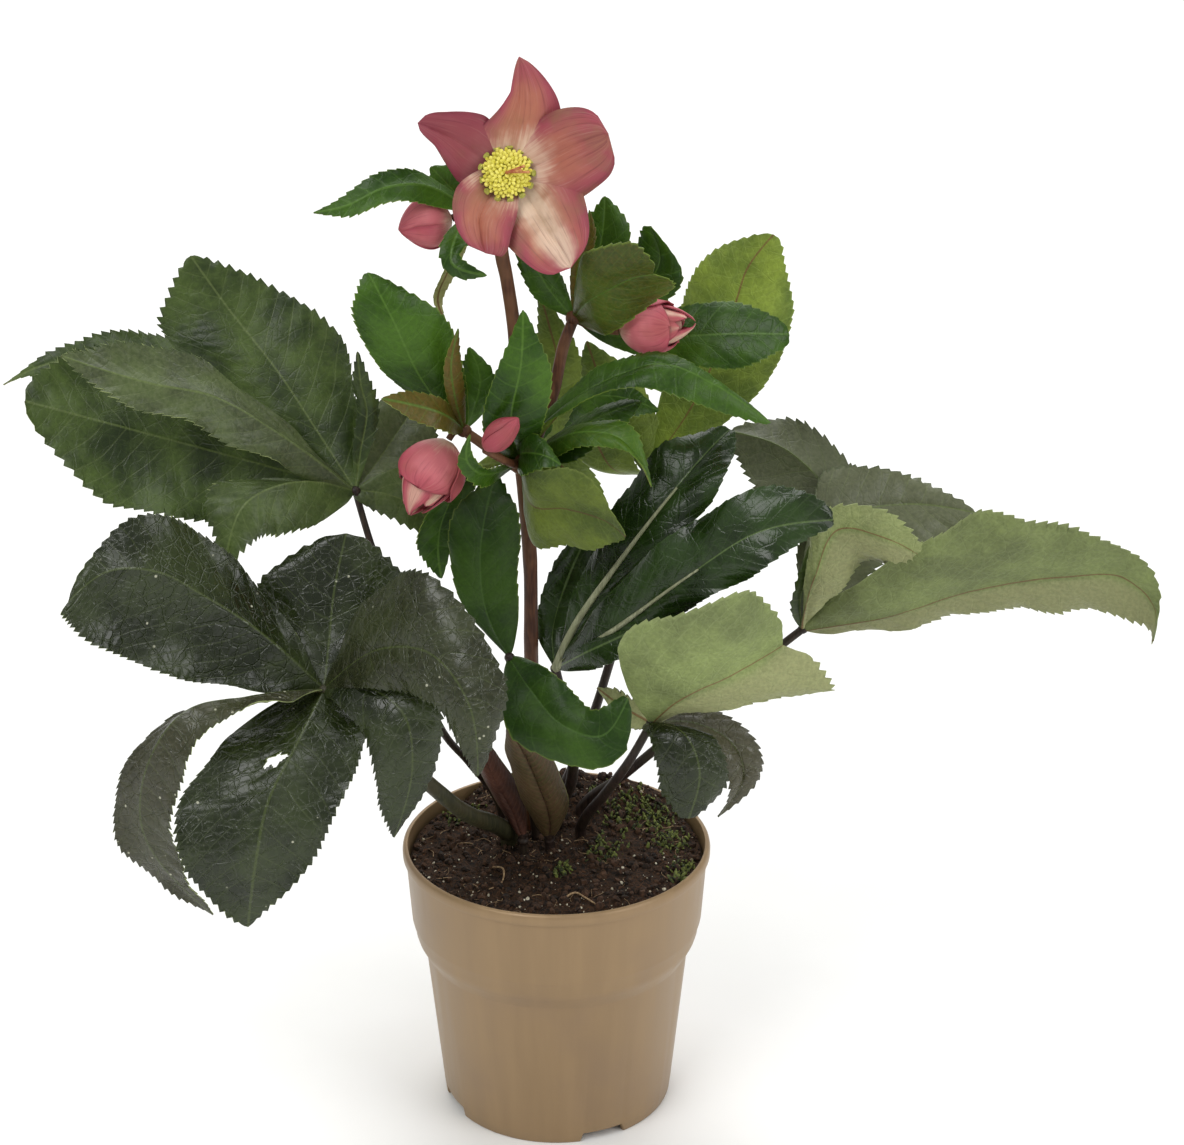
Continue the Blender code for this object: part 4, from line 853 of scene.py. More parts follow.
# Meshes
@dataclass
class Shell:
    """A mesh while it is made: points in mm, faces with their material indices, and what the materials read.

    run holds (across, along, vein phase) for each point, look (second colour, lightening, nothing), and place
    the UV pair (share across, share along).
    """
    points: list = field(default_factory=list)
    faces: list = field(default_factory=list)
    run: list = field(default_factory=list)
    look: list = field(default_factory=list)
    place: list = field(default_factory=list)
    count: int = 0

    def add(self, points: Array, *faces: Array, finish: Array | int = 0, run: Array | float = 0.0,
            look: Array | float = 0.0, place: Array | float = 0.0) -> None:
        """Adds one closed shape.

        Args:
            points: its points, (n, 3).
            faces: groups of faces of four or three points, counted from this shape's first point.
            finish: material index, one for all or one for each face.
            run: one row for all points or one for each, as are look and place.
            look: see the class.
            place: see the class.
        """
        self.points.append(points)
        for group in faces:
            self.faces.append((group + self.count, np.broadcast_to(finish, len(group))))
        for kept, rows, width in ((self.run, run, 3), (self.look, look, 3), (self.place, place, 2)):
            kept.append(np.broadcast_to(rows, (len(points), width)))
        self.count += len(points)

    def add_turned(self, rings: Array, ends: Array, finish: int = 0, look: Array | float = 0.0) -> None:
        """Adds rings of points, closed by a point at each end.

        Args:
            rings: (rows, sides, 3).
            ends: the two points that close the first and the last ring.
            finish: material index.
            look: see the class.
        """
        rows, sides = rings.shape[:2]
        k = np.arange(sides)
        n = (k + 1) % sides
        last = (rows - 1) * sides
        fans = [np.stack((np.full(sides, rows * sides), n, k), -1),
                np.stack((np.full(sides, rows * sides + 1), last + k, last + n), -1)]
        self.add(np.vstack((rings.reshape(-1, 3), ends)), grid_quads(rows, sides, wrap=True), np.vstack(fans),
                 finish=finish, look=look)

    def add_sheet(self, front: Array, back: Array, place: Array, look: Array, run: Array | float = 0.0,
                  there: Array | None = None, finish: tuple = (0, 0)) -> None:
        """Adds a sheet of two faces, with a rim round its outline and round the holes in it.

        Args:
            front: points of the face whose (next column) x (next row) points out, (rows, columns, 3).
            back: those of the other face.
            place: for both faces, (rows, columns, 2).
            look: for both faces, or one row for all.
            run: in the same way.
            there: which cells exist, (rows - 1, columns - 1).
            finish: material index of the front, with the rim, and of the back.
        """
        rows, wide = front.shape[:2]
        n = rows * wide
        there = np.ones((rows - 1, wide - 1), bool) if there is None else there
        cells = grid_quads(rows, wide)[there.ravel()]
        padded = np.pad(there, 1).astype(int)
        rim = []
        for change, far, ways in ((np.diff(padded[1:-1], axis=1), wide, (1, -1)),
                                  (np.diff(padded[:, 1:-1], axis=0), 1, (-1, 1))):
            for step, way in zip((1, -1), ways):
                i, j = np.nonzero(change == step)
                one, two = (i * wide + j, i * wide + j + far)[::way]
                rim.append(np.stack((one, two, two + n, one + n), -1))
        rim = np.vstack(rim)
        marks = np.repeat((finish[0], finish[1], finish[0]), (len(cells), len(cells), len(rim)))
        reads = [np.tile(np.broadcast_to(rows_read, (rows, wide, k)).reshape(-1, k), (2, 1))
                 for rows_read, k in ((run, 3), (look, 3), (place, 2))]
        self.add(np.vstack((front.reshape(-1, 3), back.reshape(-1, 3))),
                 np.vstack((cells, (cells + n)[:, ::-1], rim)), finish=marks, run=reads[0], look=reads[1],
                 place=reads[2])

    def object(self, name: str) -> bpy.types.Object:
        """The bare mesh in metres, quads before triangles, as an object in the scene.

        Args:
            name: its name.

        Returns:
            The object.
        """
        faces = sorted(self.faces, key=lambda pair: -pair[0].shape[1])
        loops = np.concatenate([group.ravel() for group, _ in faces]).astype(np.int32)
        corners = np.concatenate([np.full(len(group), group.shape[1]) for group, _ in faces])
        mesh = bpy.data.meshes.new(name)
        mesh.vertices.add(self.count)
        mesh.vertices.foreach_set("co", (np.vstack(self.points) * MM).astype(np.float32).ravel())
        mesh.loops.add(len(loops))
        mesh.loops.foreach_set("vertex_index", loops)
        mesh.polygons.add(len(corners))
        mesh.polygons.foreach_set("loop_start", (np.cumsum(corners) - corners).astype(np.int32))
        marks = np.concatenate([marks for _, marks in faces]).astype(np.int32)
        mesh.polygons.foreach_set("material_index", marks)
        mesh.update(calc_edges=True)
        for label, rows in (("run", self.run), ("look", self.look)):
            layer = mesh.attributes.new(label, "FLOAT_VECTOR", "POINT")
            layer.data.foreach_set("vector", np.vstack(rows).astype(np.float32).ravel())
        uv = mesh.uv_layers.new(name="place")
        uv.data.foreach_set("uv", np.vstack(self.place)[loops].astype(np.float32).ravel())
        return in_scene(name, mesh)

    def piece(self, name: str, finishes: tuple, slot: str, node: str,
              crease: float = 50.0) -> bpy.types.Object:
        """The finished piece, riding on the root body in the place of its CAD node.

        Args:
            name: the piece's name.
            finishes: its finishes, in the order of the material indices.
            slot: the record's slot; not used.
            node: the CAD node it stands for.
            crease: edges bent by more than this many degrees stay sharp.

        Returns:
            The object.
        """
        piece = self.object(name)
        for finish in finishes:
            piece.data.materials.append(finish.material())
        piece.data.shade_smooth()
        piece.data.set_sharp_from_angle(angle=math.radians(crease))
        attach(piece, "root")
        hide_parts(node)
        LOG.info("%s: %d points, %d faces", name, self.count, len(piece.data.polygons))
        return piece


def in_scene(name: str, data: bpy.types.ID) -> bpy.types.Object:
    """Puts a mesh, a lamp or a camera in the scene.

    Args:
        name: the object's name.
        data: what it is made of.

    Returns:
        The object.
    """
    obj = bpy.data.objects.new(name, data)
    bpy.context.collection.objects.link(obj)
    return obj


def bore(piece: bpy.types.Object, cutters: Shell) -> None:
    """Cuts closed shapes from a piece with one Boolean, applied.

    Args:
        piece: the piece to cut.
        cutters: the shapes.
    """
    tool = cutters.object("cutter")
    tool.data.shade_flat()
    change = piece.modifiers.new("bore", "BOOLEAN")
    change.operation, change.object, change.solver = "DIFFERENCE", tool, "EXACT"
    cut = bpy.data.meshes.new_from_object(piece.evaluated_get(bpy.context.evaluated_depsgraph_get()))
    piece.modifiers.remove(change)
    piece.data = cut
    bpy.data.objects.remove(tool, do_unlink=True)


# Surfaces: the way to the viewer, shares across a half blade, what rings line up with, and sizes in mm
VIEWER = np.array((0.0, -0.92, 0.39))
COLUMNS = np.array((0, 0.045, 0.14, 0.27, 0.42, 0.57, 0.71, 0.83, 0.92, 1.0))
STALK_LEAD = np.array((0.31, 0.92, 0.22))
ROWS_PER_TOOTH = 4
PLAIN_ROW = 1.4
VEIN_SLOPE = 0.62
VEIN_BEND = 0.011
RIB_WIDTH = 0.85
VEIN_WIDTH = 0.5


def add_blade(shell: Shell, leaf: Leaflet, hub: tuple, habit: Habit, seed: int) -> None:
    """Adds a blade as a closed sheet.

    The middle surface is centre(s) + side(s) width(s) |v|, for s along the midrib and v from -1 to 1 across.
    It is lifted between midrib and margin, waved at the margin, and puckered into pillows between the side
    veins, whose phase is (along - slope across) / spacing. Saw teeth stretch the outermost columns. The two
    faces stand half a thickness off it, and the lower one swells under the midrib.

    Args:
        shell: takes the blade.
        leaf: its sizes.
        hub: where its midrib starts.
        habit: how it is cut and puckered.
        seed: varies it.
    """
    rng = np.random.default_rng(seed)
    points = (hub,) + leaf.rib
    _, length = curve(points, np.zeros(1))
    teeth = max(round(length / habit.tooth), 6) if habit.tooth else 0
    rows = teeth * ROWS_PER_TOOTH if teeth else max(round(length / PLAIN_ROW), 24)
    s = np.linspace(0, 1, rows + 1)
    rib, _ = curve(points, s)
    ahead = unit(np.gradient(rib, axis=0))
    turn = np.clip((s - leaf.widest) / (leaf.turned - leaf.widest), 0, 1)[:, None]
    sides = [np.asarray(low, float) * (1 - turn) + np.asarray(high or low, float) * turn
             for low, high in ((leaf.left, leaf.left_tip), (leaf.right, leaf.right_tip))]
    width = fullness(s, leaf.rise, leaf.fall) * (1 - leaf.point * ease(s, 0.72, 1.0))
    square = np.cross(sides[1] - sides[0], ahead)
    faced = unit(square)[:, None]
    toward = math.copysign(1, unit(square.mean(axis=0)) @ VIEWER)
    upper_first = (leaf.shown is Face.UPPER) == (toward > 0)
    v = np.concatenate((-COLUMNS[:0:-1], COLUMNS))
    if leaf.torn:
        v = np.union1d(v, np.round(leaf.torn[1] + 0.025 * np.arange(-6, 7), 3))
    tooth = np.zeros((rows + 1, 1))
    if teeth:
        phase = (s * teeth) % 1.0
        saw = np.where(phase < 0.8, phase / 0.75, 0.0) - 0.4
        fade = ease(s, 0.18, 0.4) * (1 - 0.7 * ease(s, 0.94, 1.0))
        varied = np.repeat(rng.uniform(0.55, 1.35, teeth + 1), ROWS_PER_TOOTH)[:rows + 1]
        tooth[:, 0] = habit.depth * saw * fade * varied

    grid, across = np.empty((rows + 1, len(v), 3)), np.empty((rows + 1, len(v)))
    for sign, side, curl in ((-1, sides[0], leaf.curl[0]), (1, sides[1], leaf.curl[1])):
        half_of_v = sign * v >= 0
        share = np.abs(v[half_of_v])
        uneven = noise(np.stack((s * length, np.full_like(s, 40.0 * rng.random()), 0 * s), -1), 17, 33)
        half = width * np.linalg.norm(side, axis=1) * (1 + habit.uneven * uneven)
        half = np.maximum(half, 0.9 * (1 - s) + 0.12)[:, None]
        lift = habit.bulge * half * 4 * share * (1 - share)
        saw_edge = tooth * ease(share, 0.86, 1.0)
        out = half * share + saw_edge * np.minimum(half / 5, 1)
        bend = habit.wave * np.sin(2 * np.pi * (s[:, None] * length / 34 + rng.random())) * share**3
        lift = lift + (bend + curl * share**2.5) * np.minimum(half / 8, 1) * toward
        grid[:, half_of_v] = (rib[:, None] + unit(side)[:, None] * out[..., None]
                              + ahead[:, None] * (0.8 * saw_edge)[..., None] + faced * lift[..., None])
        across[:, half_of_v] = sign * out

    along = np.broadcast_to((s * length)[:, None], across.shape)
    reach = np.abs(across)
    half = np.maximum(reach[:, :1], reach[:, -1:])
    vein = (along - VEIN_SLOPE * reach - VEIN_BEND * reach**2) / habit.vein + 0.24 * noise(grid, 14, seed % 7)
    room = 4 * np.abs(v) * (1 - 0.75 * np.abs(v)) * np.minimum(half / 12, 1) * ease(along, 6, 22)
    relief = habit.pucker * (np.sqrt(np.abs(np.sin(np.pi * vein))) - 0.6) * room * (1 if upper_first else -1)
    uneven = noise(grid, 6, 31) + 2.2 * noise(grid, 24, 32)
    relief = relief + habit.rough * uneven * np.minimum(half / 10, 1)
    grid = grid + sheet_normal(grid, faced) * relief[..., None]
    normal = sheet_normal(grid, faced, -0.2)
    from_vein = ((vein + 0.5) % 1 - 0.5) * habit.vein
    ridge = habit.rib * (np.exp(-(across / RIB_WIDTH) ** 2) * (1 - 0.75 * s[:, None])
                         + 0.16 * np.exp(-(from_vein / VEIN_WIDTH) ** 2) * room)
    thick = habit.thick / 2 * (1 - 0.45 * np.abs(v) ** 5)
    front = grid + normal * (thick + ridge * (not upper_first))[..., None]
    back = grid - normal * (thick + ridge * upper_first)[..., None]

    there = None
    if leaf.torn:
        out = ((v[1:] + v[:-1]) / 2 - leaf.torn[1]) * half.max()
        up = ((s[1:] + s[:-1]) / 2 - leaf.torn[0])[:, None] * length
        way = np.arctan2(up, out)
        ragged = 0.8 + 0.2 * np.cos(5 * way + 1) + 0.15 * np.cos(2 * way)
        there = np.hypot(up, out) > leaf.torn[2] * ragged
    # each half's share of the second colour from pale: on folded blades, painted shade on the half turned
    # from the light
    half_tint_and_shade = np.where(v < 0, leaf.pale[0], leaf.pale[1]) * ease(np.abs(v), 0.0, 0.2)
    second = np.clip(leaf.tone[0] + half_tint_and_shade, 0, 1)
    shell.add_sheet(front, back, np.stack(np.broadcast_arrays(0.5 + 0.5 * v, s[:, None]), -1),
                    np.stack(np.broadcast_arrays(second, leaf.tone[1], 0 * v), -1),
                    np.stack((across, along, vein), -1), there, (0, 1) if upper_first else (1, 0))


def add_tube(shell: Shell, stalk: Stalk, finish: int = 0, sides: int = 14, spacing: float = 3.0,
             ribs: float = 0.035, seed: int = 0) -> None:
    """Adds a closed stalk: rings square to a smooth curve, whose radius runs from start to end and swells and
    narrows a little around and along.

    Args:
        shell: takes the stalk.
        stalk: its points and radii.
        finish: material index.
        sides: points in a ring.
        spacing: mm between rings.
        ribs: height of its ridges as a share of the radius.
        seed: varies it.
    """
    _, length = curve(stalk.points, np.zeros(1))
    s = np.linspace(0, 1, max(round(length / spacing), 3) + 1)
    path, _ = curve(stalk.points, s)
    if stalk.rooted:
        foot = np.array((*path[-1, :2], FOOT_HEIGHT))
        path = np.vstack((path, (path[-1] + foot) / 2, foot))
        s = np.append(s, (1.0, 1.0))
    ahead = unit(np.gradient(path, axis=0))
    one = unit(STALK_LEAD - ahead * (ahead @ STALK_LEAD)[:, None])
    two = np.cross(ahead, one)
    turn = 2 * np.pi * np.arange(sides)[:, None] / sides
    spoke = one[:, None] * np.cos(turn) + two[:, None] * np.sin(turn)
    swell = 1 + ribs * np.cos(5 * turn[:, 0]) + 0.05 * noise(path, 9, seed)[:, None]
    radius = (stalk.start + (stalk.end - stalk.start) * s)[:, None] * swell
    shell.add_turned(path[:, None] + radius[..., None] * spoke, path[[0, -1]], finish)


def add_lump(shell: Shell, centre: Array, axes: Array, finish: int = 0, rings: int = 8, sides: int = 12,
             rough: float = 0.0, seed: int = 0, look: Array | float = 0.0) -> None:
    """Adds a closed ellipsoid: a sphere's points carried along three half axes and roughened by noise.

    Args:
        shell: takes the lump.
        centre: its centre.
        axes: its three half axes as rows, (3, 3); the third runs from pole to pole.
        finish: material index.
        rings: steps from pole to pole.
        sides: steps around.
        rough: height of the noise as a share of the radius.
        seed: varies it.
        look: what its material reads.
    """
    tilt = np.pi * np.arange(1, rings)[:, None] / rings
    ball = np.vstack((turned(np.sin(tilt), -np.cos(tilt), sides).reshape(-1, 3), (0, 0, -1), (0, 0, 1)))
    if rough:
        ball = ball * (1 + rough * noise(ball * 10 + seed * 3.7, 9, 5))[:, None]
    points = np.asarray(centre) + ball @ np.asarray(axes, float)
    shell.add_turned(points[:-2].reshape(rings - 1, sides, 3), points[-2:], finish, look)


# Sub-assemblies
@dataclass
class Foliage:
    """A leaf or a whorl: blades from one hub, with a petiole where it has one.

    knot is the radius of the lump where the midribs meet, and fleshy lists the midribs that stand out as pale
    ribs: (blade, share of its length, radius).
    """
    node: str
    spec: tuple
    habit: Habit
    upper: LeafTissue
    under: LeafTissue
    skin: StalkSkin
    slot: str
    petiole: Stalk | None = None
    knot: float = 2.2
    fleshy: tuple = ()

    def build(self, seed: int) -> None:
        """Makes the blades as one piece, and the petiole with the knot as another.

        Args:
            seed: varies it.
        """
        hub, leaflets = self.spec
        blades, stalks = Shell(), Shell()
        for k, leaf in enumerate(leaflets):
            add_blade(blades, leaf, hub, self.habit, seed * 20 + k)
        blades.piece(self.node + "_blades", (self.upper, self.under), self.slot, self.node)
        add_lump(stalks, hub, np.diag((self.knot, self.knot, self.knot * 0.85)), rough=0.12, seed=seed)
        if self.petiole:
            add_tube(stalks, self.petiole, seed=seed)
        for k, share, radius in self.fleshy:
            path, _ = curve((hub,) + leaflets[k].rib, np.linspace(0, share, 9))
            path = path + np.array((0.0, -0.45, 0.1)) * radius
            add_tube(stalks, Stalk(path, radius, radius * 0.25), 1, sides=10, seed=k)
        stalks.piece(self.node + "_stalk", (self.skin, RIB_PALE), self.slot, self.node)


@dataclass
class FloweringStem:
    """The stem with its side stalks."""
    node: str = "flowering_stem"

    def build(self) -> None:
        """Makes the stem."""
        shell = Shell()
        for k, stalk in enumerate((MAIN_STEM,) + SIDE_STALKS):
            add_tube(shell, stalk, sides=18, spacing=2.5, seed=k)
        shell.piece(self.node + "_stalks", (STEM_RED,), "stem", self.node)


@dataclass
class Bloom:
    """The open bloom: five overlapping sepals, a ring of nectaries, a dome of stamens and the styles."""
    centre: tuple = BLOOM_CENTRE
    direction: tuple = BLOOM_FACING
    dome_radius: float = 8.9
    dome_height: float = 6.8
    anthers: int = 120
    nectaries: int = 13
    golden_angle: float = 2.39996

    def __post_init__(self) -> None:
        """Works out the bloom's own directions and the seat that everything grows from."""
        self.facing = unit(np.array(self.direction))
        self.one, self.two = frame_about(self.facing)
        self.seat = np.asarray(self.centre, float) - self.facing

    def spot(self, turn: float, radius: float, height: float) -> Array:
        """The point at an angle and a radius about the bloom's axis, and at a height over its seat."""
        side = self.one * math.cos(turn) + self.two * math.sin(turn)
        return self.seat + side * radius + self.facing * height

    def build(self) -> None:
        """Makes the bloom's pieces."""
        self.sepals()
        self.stamens()
        self.styles()

    def sepals(self) -> None:
        """Makes the sepals, all from the seat."""
        shell = Shell()
        for k, leaf in enumerate(SEPALS):
            add_blade(shell, leaf, tuple(self.seat), SEPAL_HABIT, 400 + k)
        axes = np.stack((self.one * 6.2, self.two * 6.2, self.facing * 2.6))
        add_lump(shell, self.seat, axes, finish=1, rings=10, sides=24)
        shell.piece("bloom_sepals_whorl", (SEPAL_FACE, SEPAL_BACK), "sepal", "bloom_sepals", 60)

    def stamens(self) -> None:
        """Makes the anthers on a golden-angle dome, a filament under each, and the nectaries around them."""
        shell = Shell()
        rng = np.random.default_rng(77)
        for k in range(self.anthers):
            share = math.sqrt((k + 0.5) / self.anthers)
            turn = k * self.golden_angle
            height = self.dome_height * math.sqrt(max(1 - (0.93 * share) ** 2, 0.0)) + rng.uniform(-0.4, 0.4)
            tip = self.spot(turn, self.dome_radius * share, 3.0 + height)
            root = self.spot(turn, self.dome_radius * share * 0.55, 2.2)
            out = unit(self.spot(turn, share, 1.1 - share) - self.seat)
            a, b = frame_about(out)
            spin = rng.uniform(0, math.pi)
            c = a * math.cos(spin) + b * math.sin(spin)
            axes = np.stack((c * 1.05, np.cross(out, c) * 0.78, out * 1.3)) * rng.uniform(0.85, 1.12)
            add_lump(shell, tip, axes, rings=5, sides=8, look=(rng.uniform(-0.2, 0.6), 0, 0))
            add_tube(shell, Stalk((root, tip), 0.28, 0.22), 1, sides=4, spacing=4.0)
        for k in range(self.nectaries):
            turn = 2 * math.pi * k / self.nectaries
            cup = (self.spot(turn, 6.5, 2.3), self.spot(turn, 10.2, 5.2))
            add_tube(shell, Stalk(cup, 0.7, 1.35), 1, sides=9, spacing=1.2)
        shell.piece("bloom_stamens_dome", (POLLEN, NECTARY_SKIN), "anther", "bloom_stamens", 60)

    def styles(self) -> None:
        """Makes the styles: they rise from the middle and bend aside."""
        shell = Shell()
        for lean, rise in ((5.2, 0.4), (8.0, -0.2), (6.2, 2.0)):
            end = self.spot(0.0, 0.0, 14.7) + np.array((lean, 0, rise))
            path = (self.spot(0.0, 0.0, 5.2), self.spot(0.0, 0.6, 11.7), end)
            add_tube(shell, Stalk(path, 0.75, 0.45), sides=8, spacing=0.7)
            add_lump(shell, end, np.eye(3) * 0.62, rings=6, sides=8, look=(0.6, 0, 0))
        shell.piece("bloom_styles_tips", (STYLE_SKIN,), "style", "bloom_styles", 60)


@dataclass
class Bud:
    """A bud: sepals wrapped around each other, their tips apart by the share `opening`."""
    node: str
    base: tuple
    tip: tuple
    radius: float
    opening: float
    rosy: float
    thick: float = 0.5

    def sepals(self) -> list:
        """Lays out the sepals. An opening bud's outer ones end early, and narrower, paler ones stand out.

        Returns:
            For each: place round the bud, reach, share of the radius, sepals in its ring, half angle in
            degrees and paleness.
        """
        if not self.opening:
            return [(k, 1.0, 1.0, 5, 58, 0.0) for k in range(5)]
        early = 0.34 * self.opening / 0.35
        outer = [(k, 1.0 - early + 0.05 * (k % 2) * self.opening, 1.0, 3, 74, 0.0) for k in range(3)]
        inner = [(k + 0.45, 1.0 - 0.09 * (k % 3), 0.8 - 0.06 * (k % 2), 6, 44, 0.55 + 0.3 * (k % 2))
                 for k in range(6)]
        return outer + inner

    def build(self, seed: int) -> None:
        """Makes the bud.

        Each sepal covers a part of an egg, whose radius is R sin(pi t^0.85)^0.75. One side lies over its
        neighbour and the other is tucked under.

        Args:
            seed: varies it.
        """
        base, tip = np.asarray(self.base, float), np.asarray(self.tip, float)
        length = float(np.linalg.norm(tip - base))
        ahead = unit(tip - base)
        one, two = frame_about(ahead)
        shell = Shell()
        t = np.linspace(0.02, 1.0, 29)[:, None]
        v = np.linspace(-1, 1, 17)[None, :]
        fall = np.clip((t - 0.6) / 0.4, 0, 1) ** 2.4
        place = np.stack(np.broadcast_arrays(0.5 + 0.5 * v, np.linspace(0, 1, len(t))[:, None]), -1)
        for k, reach, share, ring, angle, pale in self.sepals():
            half = math.radians(angle) * (np.sqrt(1 - fall) if self.opening else 1 - 0.4 * fall)
            turn = 2 * math.pi * (k + 0.25) / ring + half * v + 0.3 * t
            egg = np.sin(math.pi * np.clip(t * reach, 0, 1) ** 0.85).clip(0, 1) ** 0.75
            spread = self.radius * share * (egg + 0.22 * self.opening * (t * reach) ** 3 * (share < 1))
            bumps = noise(np.stack(np.broadcast_arrays(t * 14 + k * 9, v * 4, 0.0), -1), 3, seed)
            swell = np.maximum(spread * (1 + 0.06 * v) + 0.4 * bumps * (0.3 + t), 0.2)
            side = one * np.cos(turn)[..., None] + two * np.sin(turn)[..., None]
            grid = base + ahead * (t * reach * length)[..., None] + side * swell[..., None]
            off = sheet_normal(grid) * self.thick / 2
            look = (self.rosy + 0.08 * (k % 3), pale - 0.9 * self.rosy, 0)
            shell.add_sheet(grid + off, grid - off, place, look)
        size = self.radius * (0.62 if self.opening else 0.75)
        axes = np.stack((one * size, two * size, ahead * length * 0.4))
        add_lump(shell, base + ahead * length * 0.42, axes, rings=12, sides=16)
        shell.piece(self.node + "_sepals", (BUD_SKIN,), "sepal", self.node, 55)


@dataclass
class NurseryPot:
    """The pot: a turned wall with a collar and a beaded rim, a foot ring with notches, and drain holes."""
    rim: float = RIM_RADIUS
    base: float = BASE_RADIUS
    height: float = POT_HEIGHT
    collar: float = COLLAR_HEIGHT
    segments: int = 240
    holes: int = 8
    hole_circle: float = 40.7
    hole_radius: float = 3.6
    notch_half_angle: float = 11.5
    notch_height: float = 4.25

    def profile(self) -> Array:
        """The wall's outline, up the outside and down the inside.

        Returns:
            Points, (n, 2), as (radius, height).
        """
        r, b, h, w, c = self.rim, self.base, self.height, WALL, self.collar
        return np.array((
            (0, 0), (33.8, 0), (34.4, 0.4), (36, 4.5), (b - 3.4, 4.5), (b - 2.7, 0.4), (b - 2.3, 0),
            (b - 1.1, 0), (b - 0.5, 0.2), (b, 1.2), (b + 0.6, 6), (r - 9.1, c - 13), (r - 8.8, c - 11.9),
            (r - 6.3, c - 7.4), (r - 5.6, c - 6), (r - 4.9, c - 3.7), (r - 4.6, c - 1.5), (r - 3.7, c + 1.6),
            (r - 3.4, c + 3.0), (r - 1.4, h - 6.3), (r - 1.2, h - 5.4), (r - 0.3, h - 4.9),
            (r - 0.05, h - 4.2), (r, h - 2.2), (r - 0.25, h - 1.0), (r - 0.8, h - 0.3), (r - 1.5, h),
            (r - 2.1, h - 0.25), (r - 2.4, h - 0.9), (r - 1.2 - w, h - 6), (r - 3.5 - w, c + 2.5),
            (r - 6.2 - w, c - 6), (r - 9.2 - w, c - 11.5), (b - w, 8.5), (b - 3.5, 6.2), (35, 6.2),
            (33.0, 2.3), (32.2, 1.9), (0, 1.9)))

    def build(self) -> None:
        """Turns the profile, lifts the foot ring in its four notches and bores the drain holes."""
        profile = self.profile()
        rings = turned(profile[1:-1, :1], profile[1:-1, 1:], self.segments)
        degrees = 360 * np.arange(self.segments) / self.segments
        notched = (np.abs((degrees + 66 + 45) % 90 - 45) < self.notch_half_angle) & (profile[1:-1, :1] > 40)
        rings[..., 2] = np.where(notched, np.maximum(rings[..., 2], self.notch_height), rings[..., 2])
        shell, drills = Shell(), Shell()
        shell.add_turned(rings, [(0, 0, profile[0][1]), (0, 0, profile[-1][1])])
        pot = shell.piece("pot_wall", (POT_PLASTIC,), "pot_plastic", "pot", 38)
        for k in range(self.holes):
            angle = 2 * math.pi * (k + 0.5) / self.holes
            x, y = self.hole_circle * math.cos(angle), self.hole_circle * math.sin(angle)
            drill = Stalk(((x, y, 3.2), (x, y, 7.6)), self.hole_radius, self.hole_radius)
            add_tube(drills, drill, sides=20, spacing=2.0, ribs=0.0)
        bore(pot, drills)


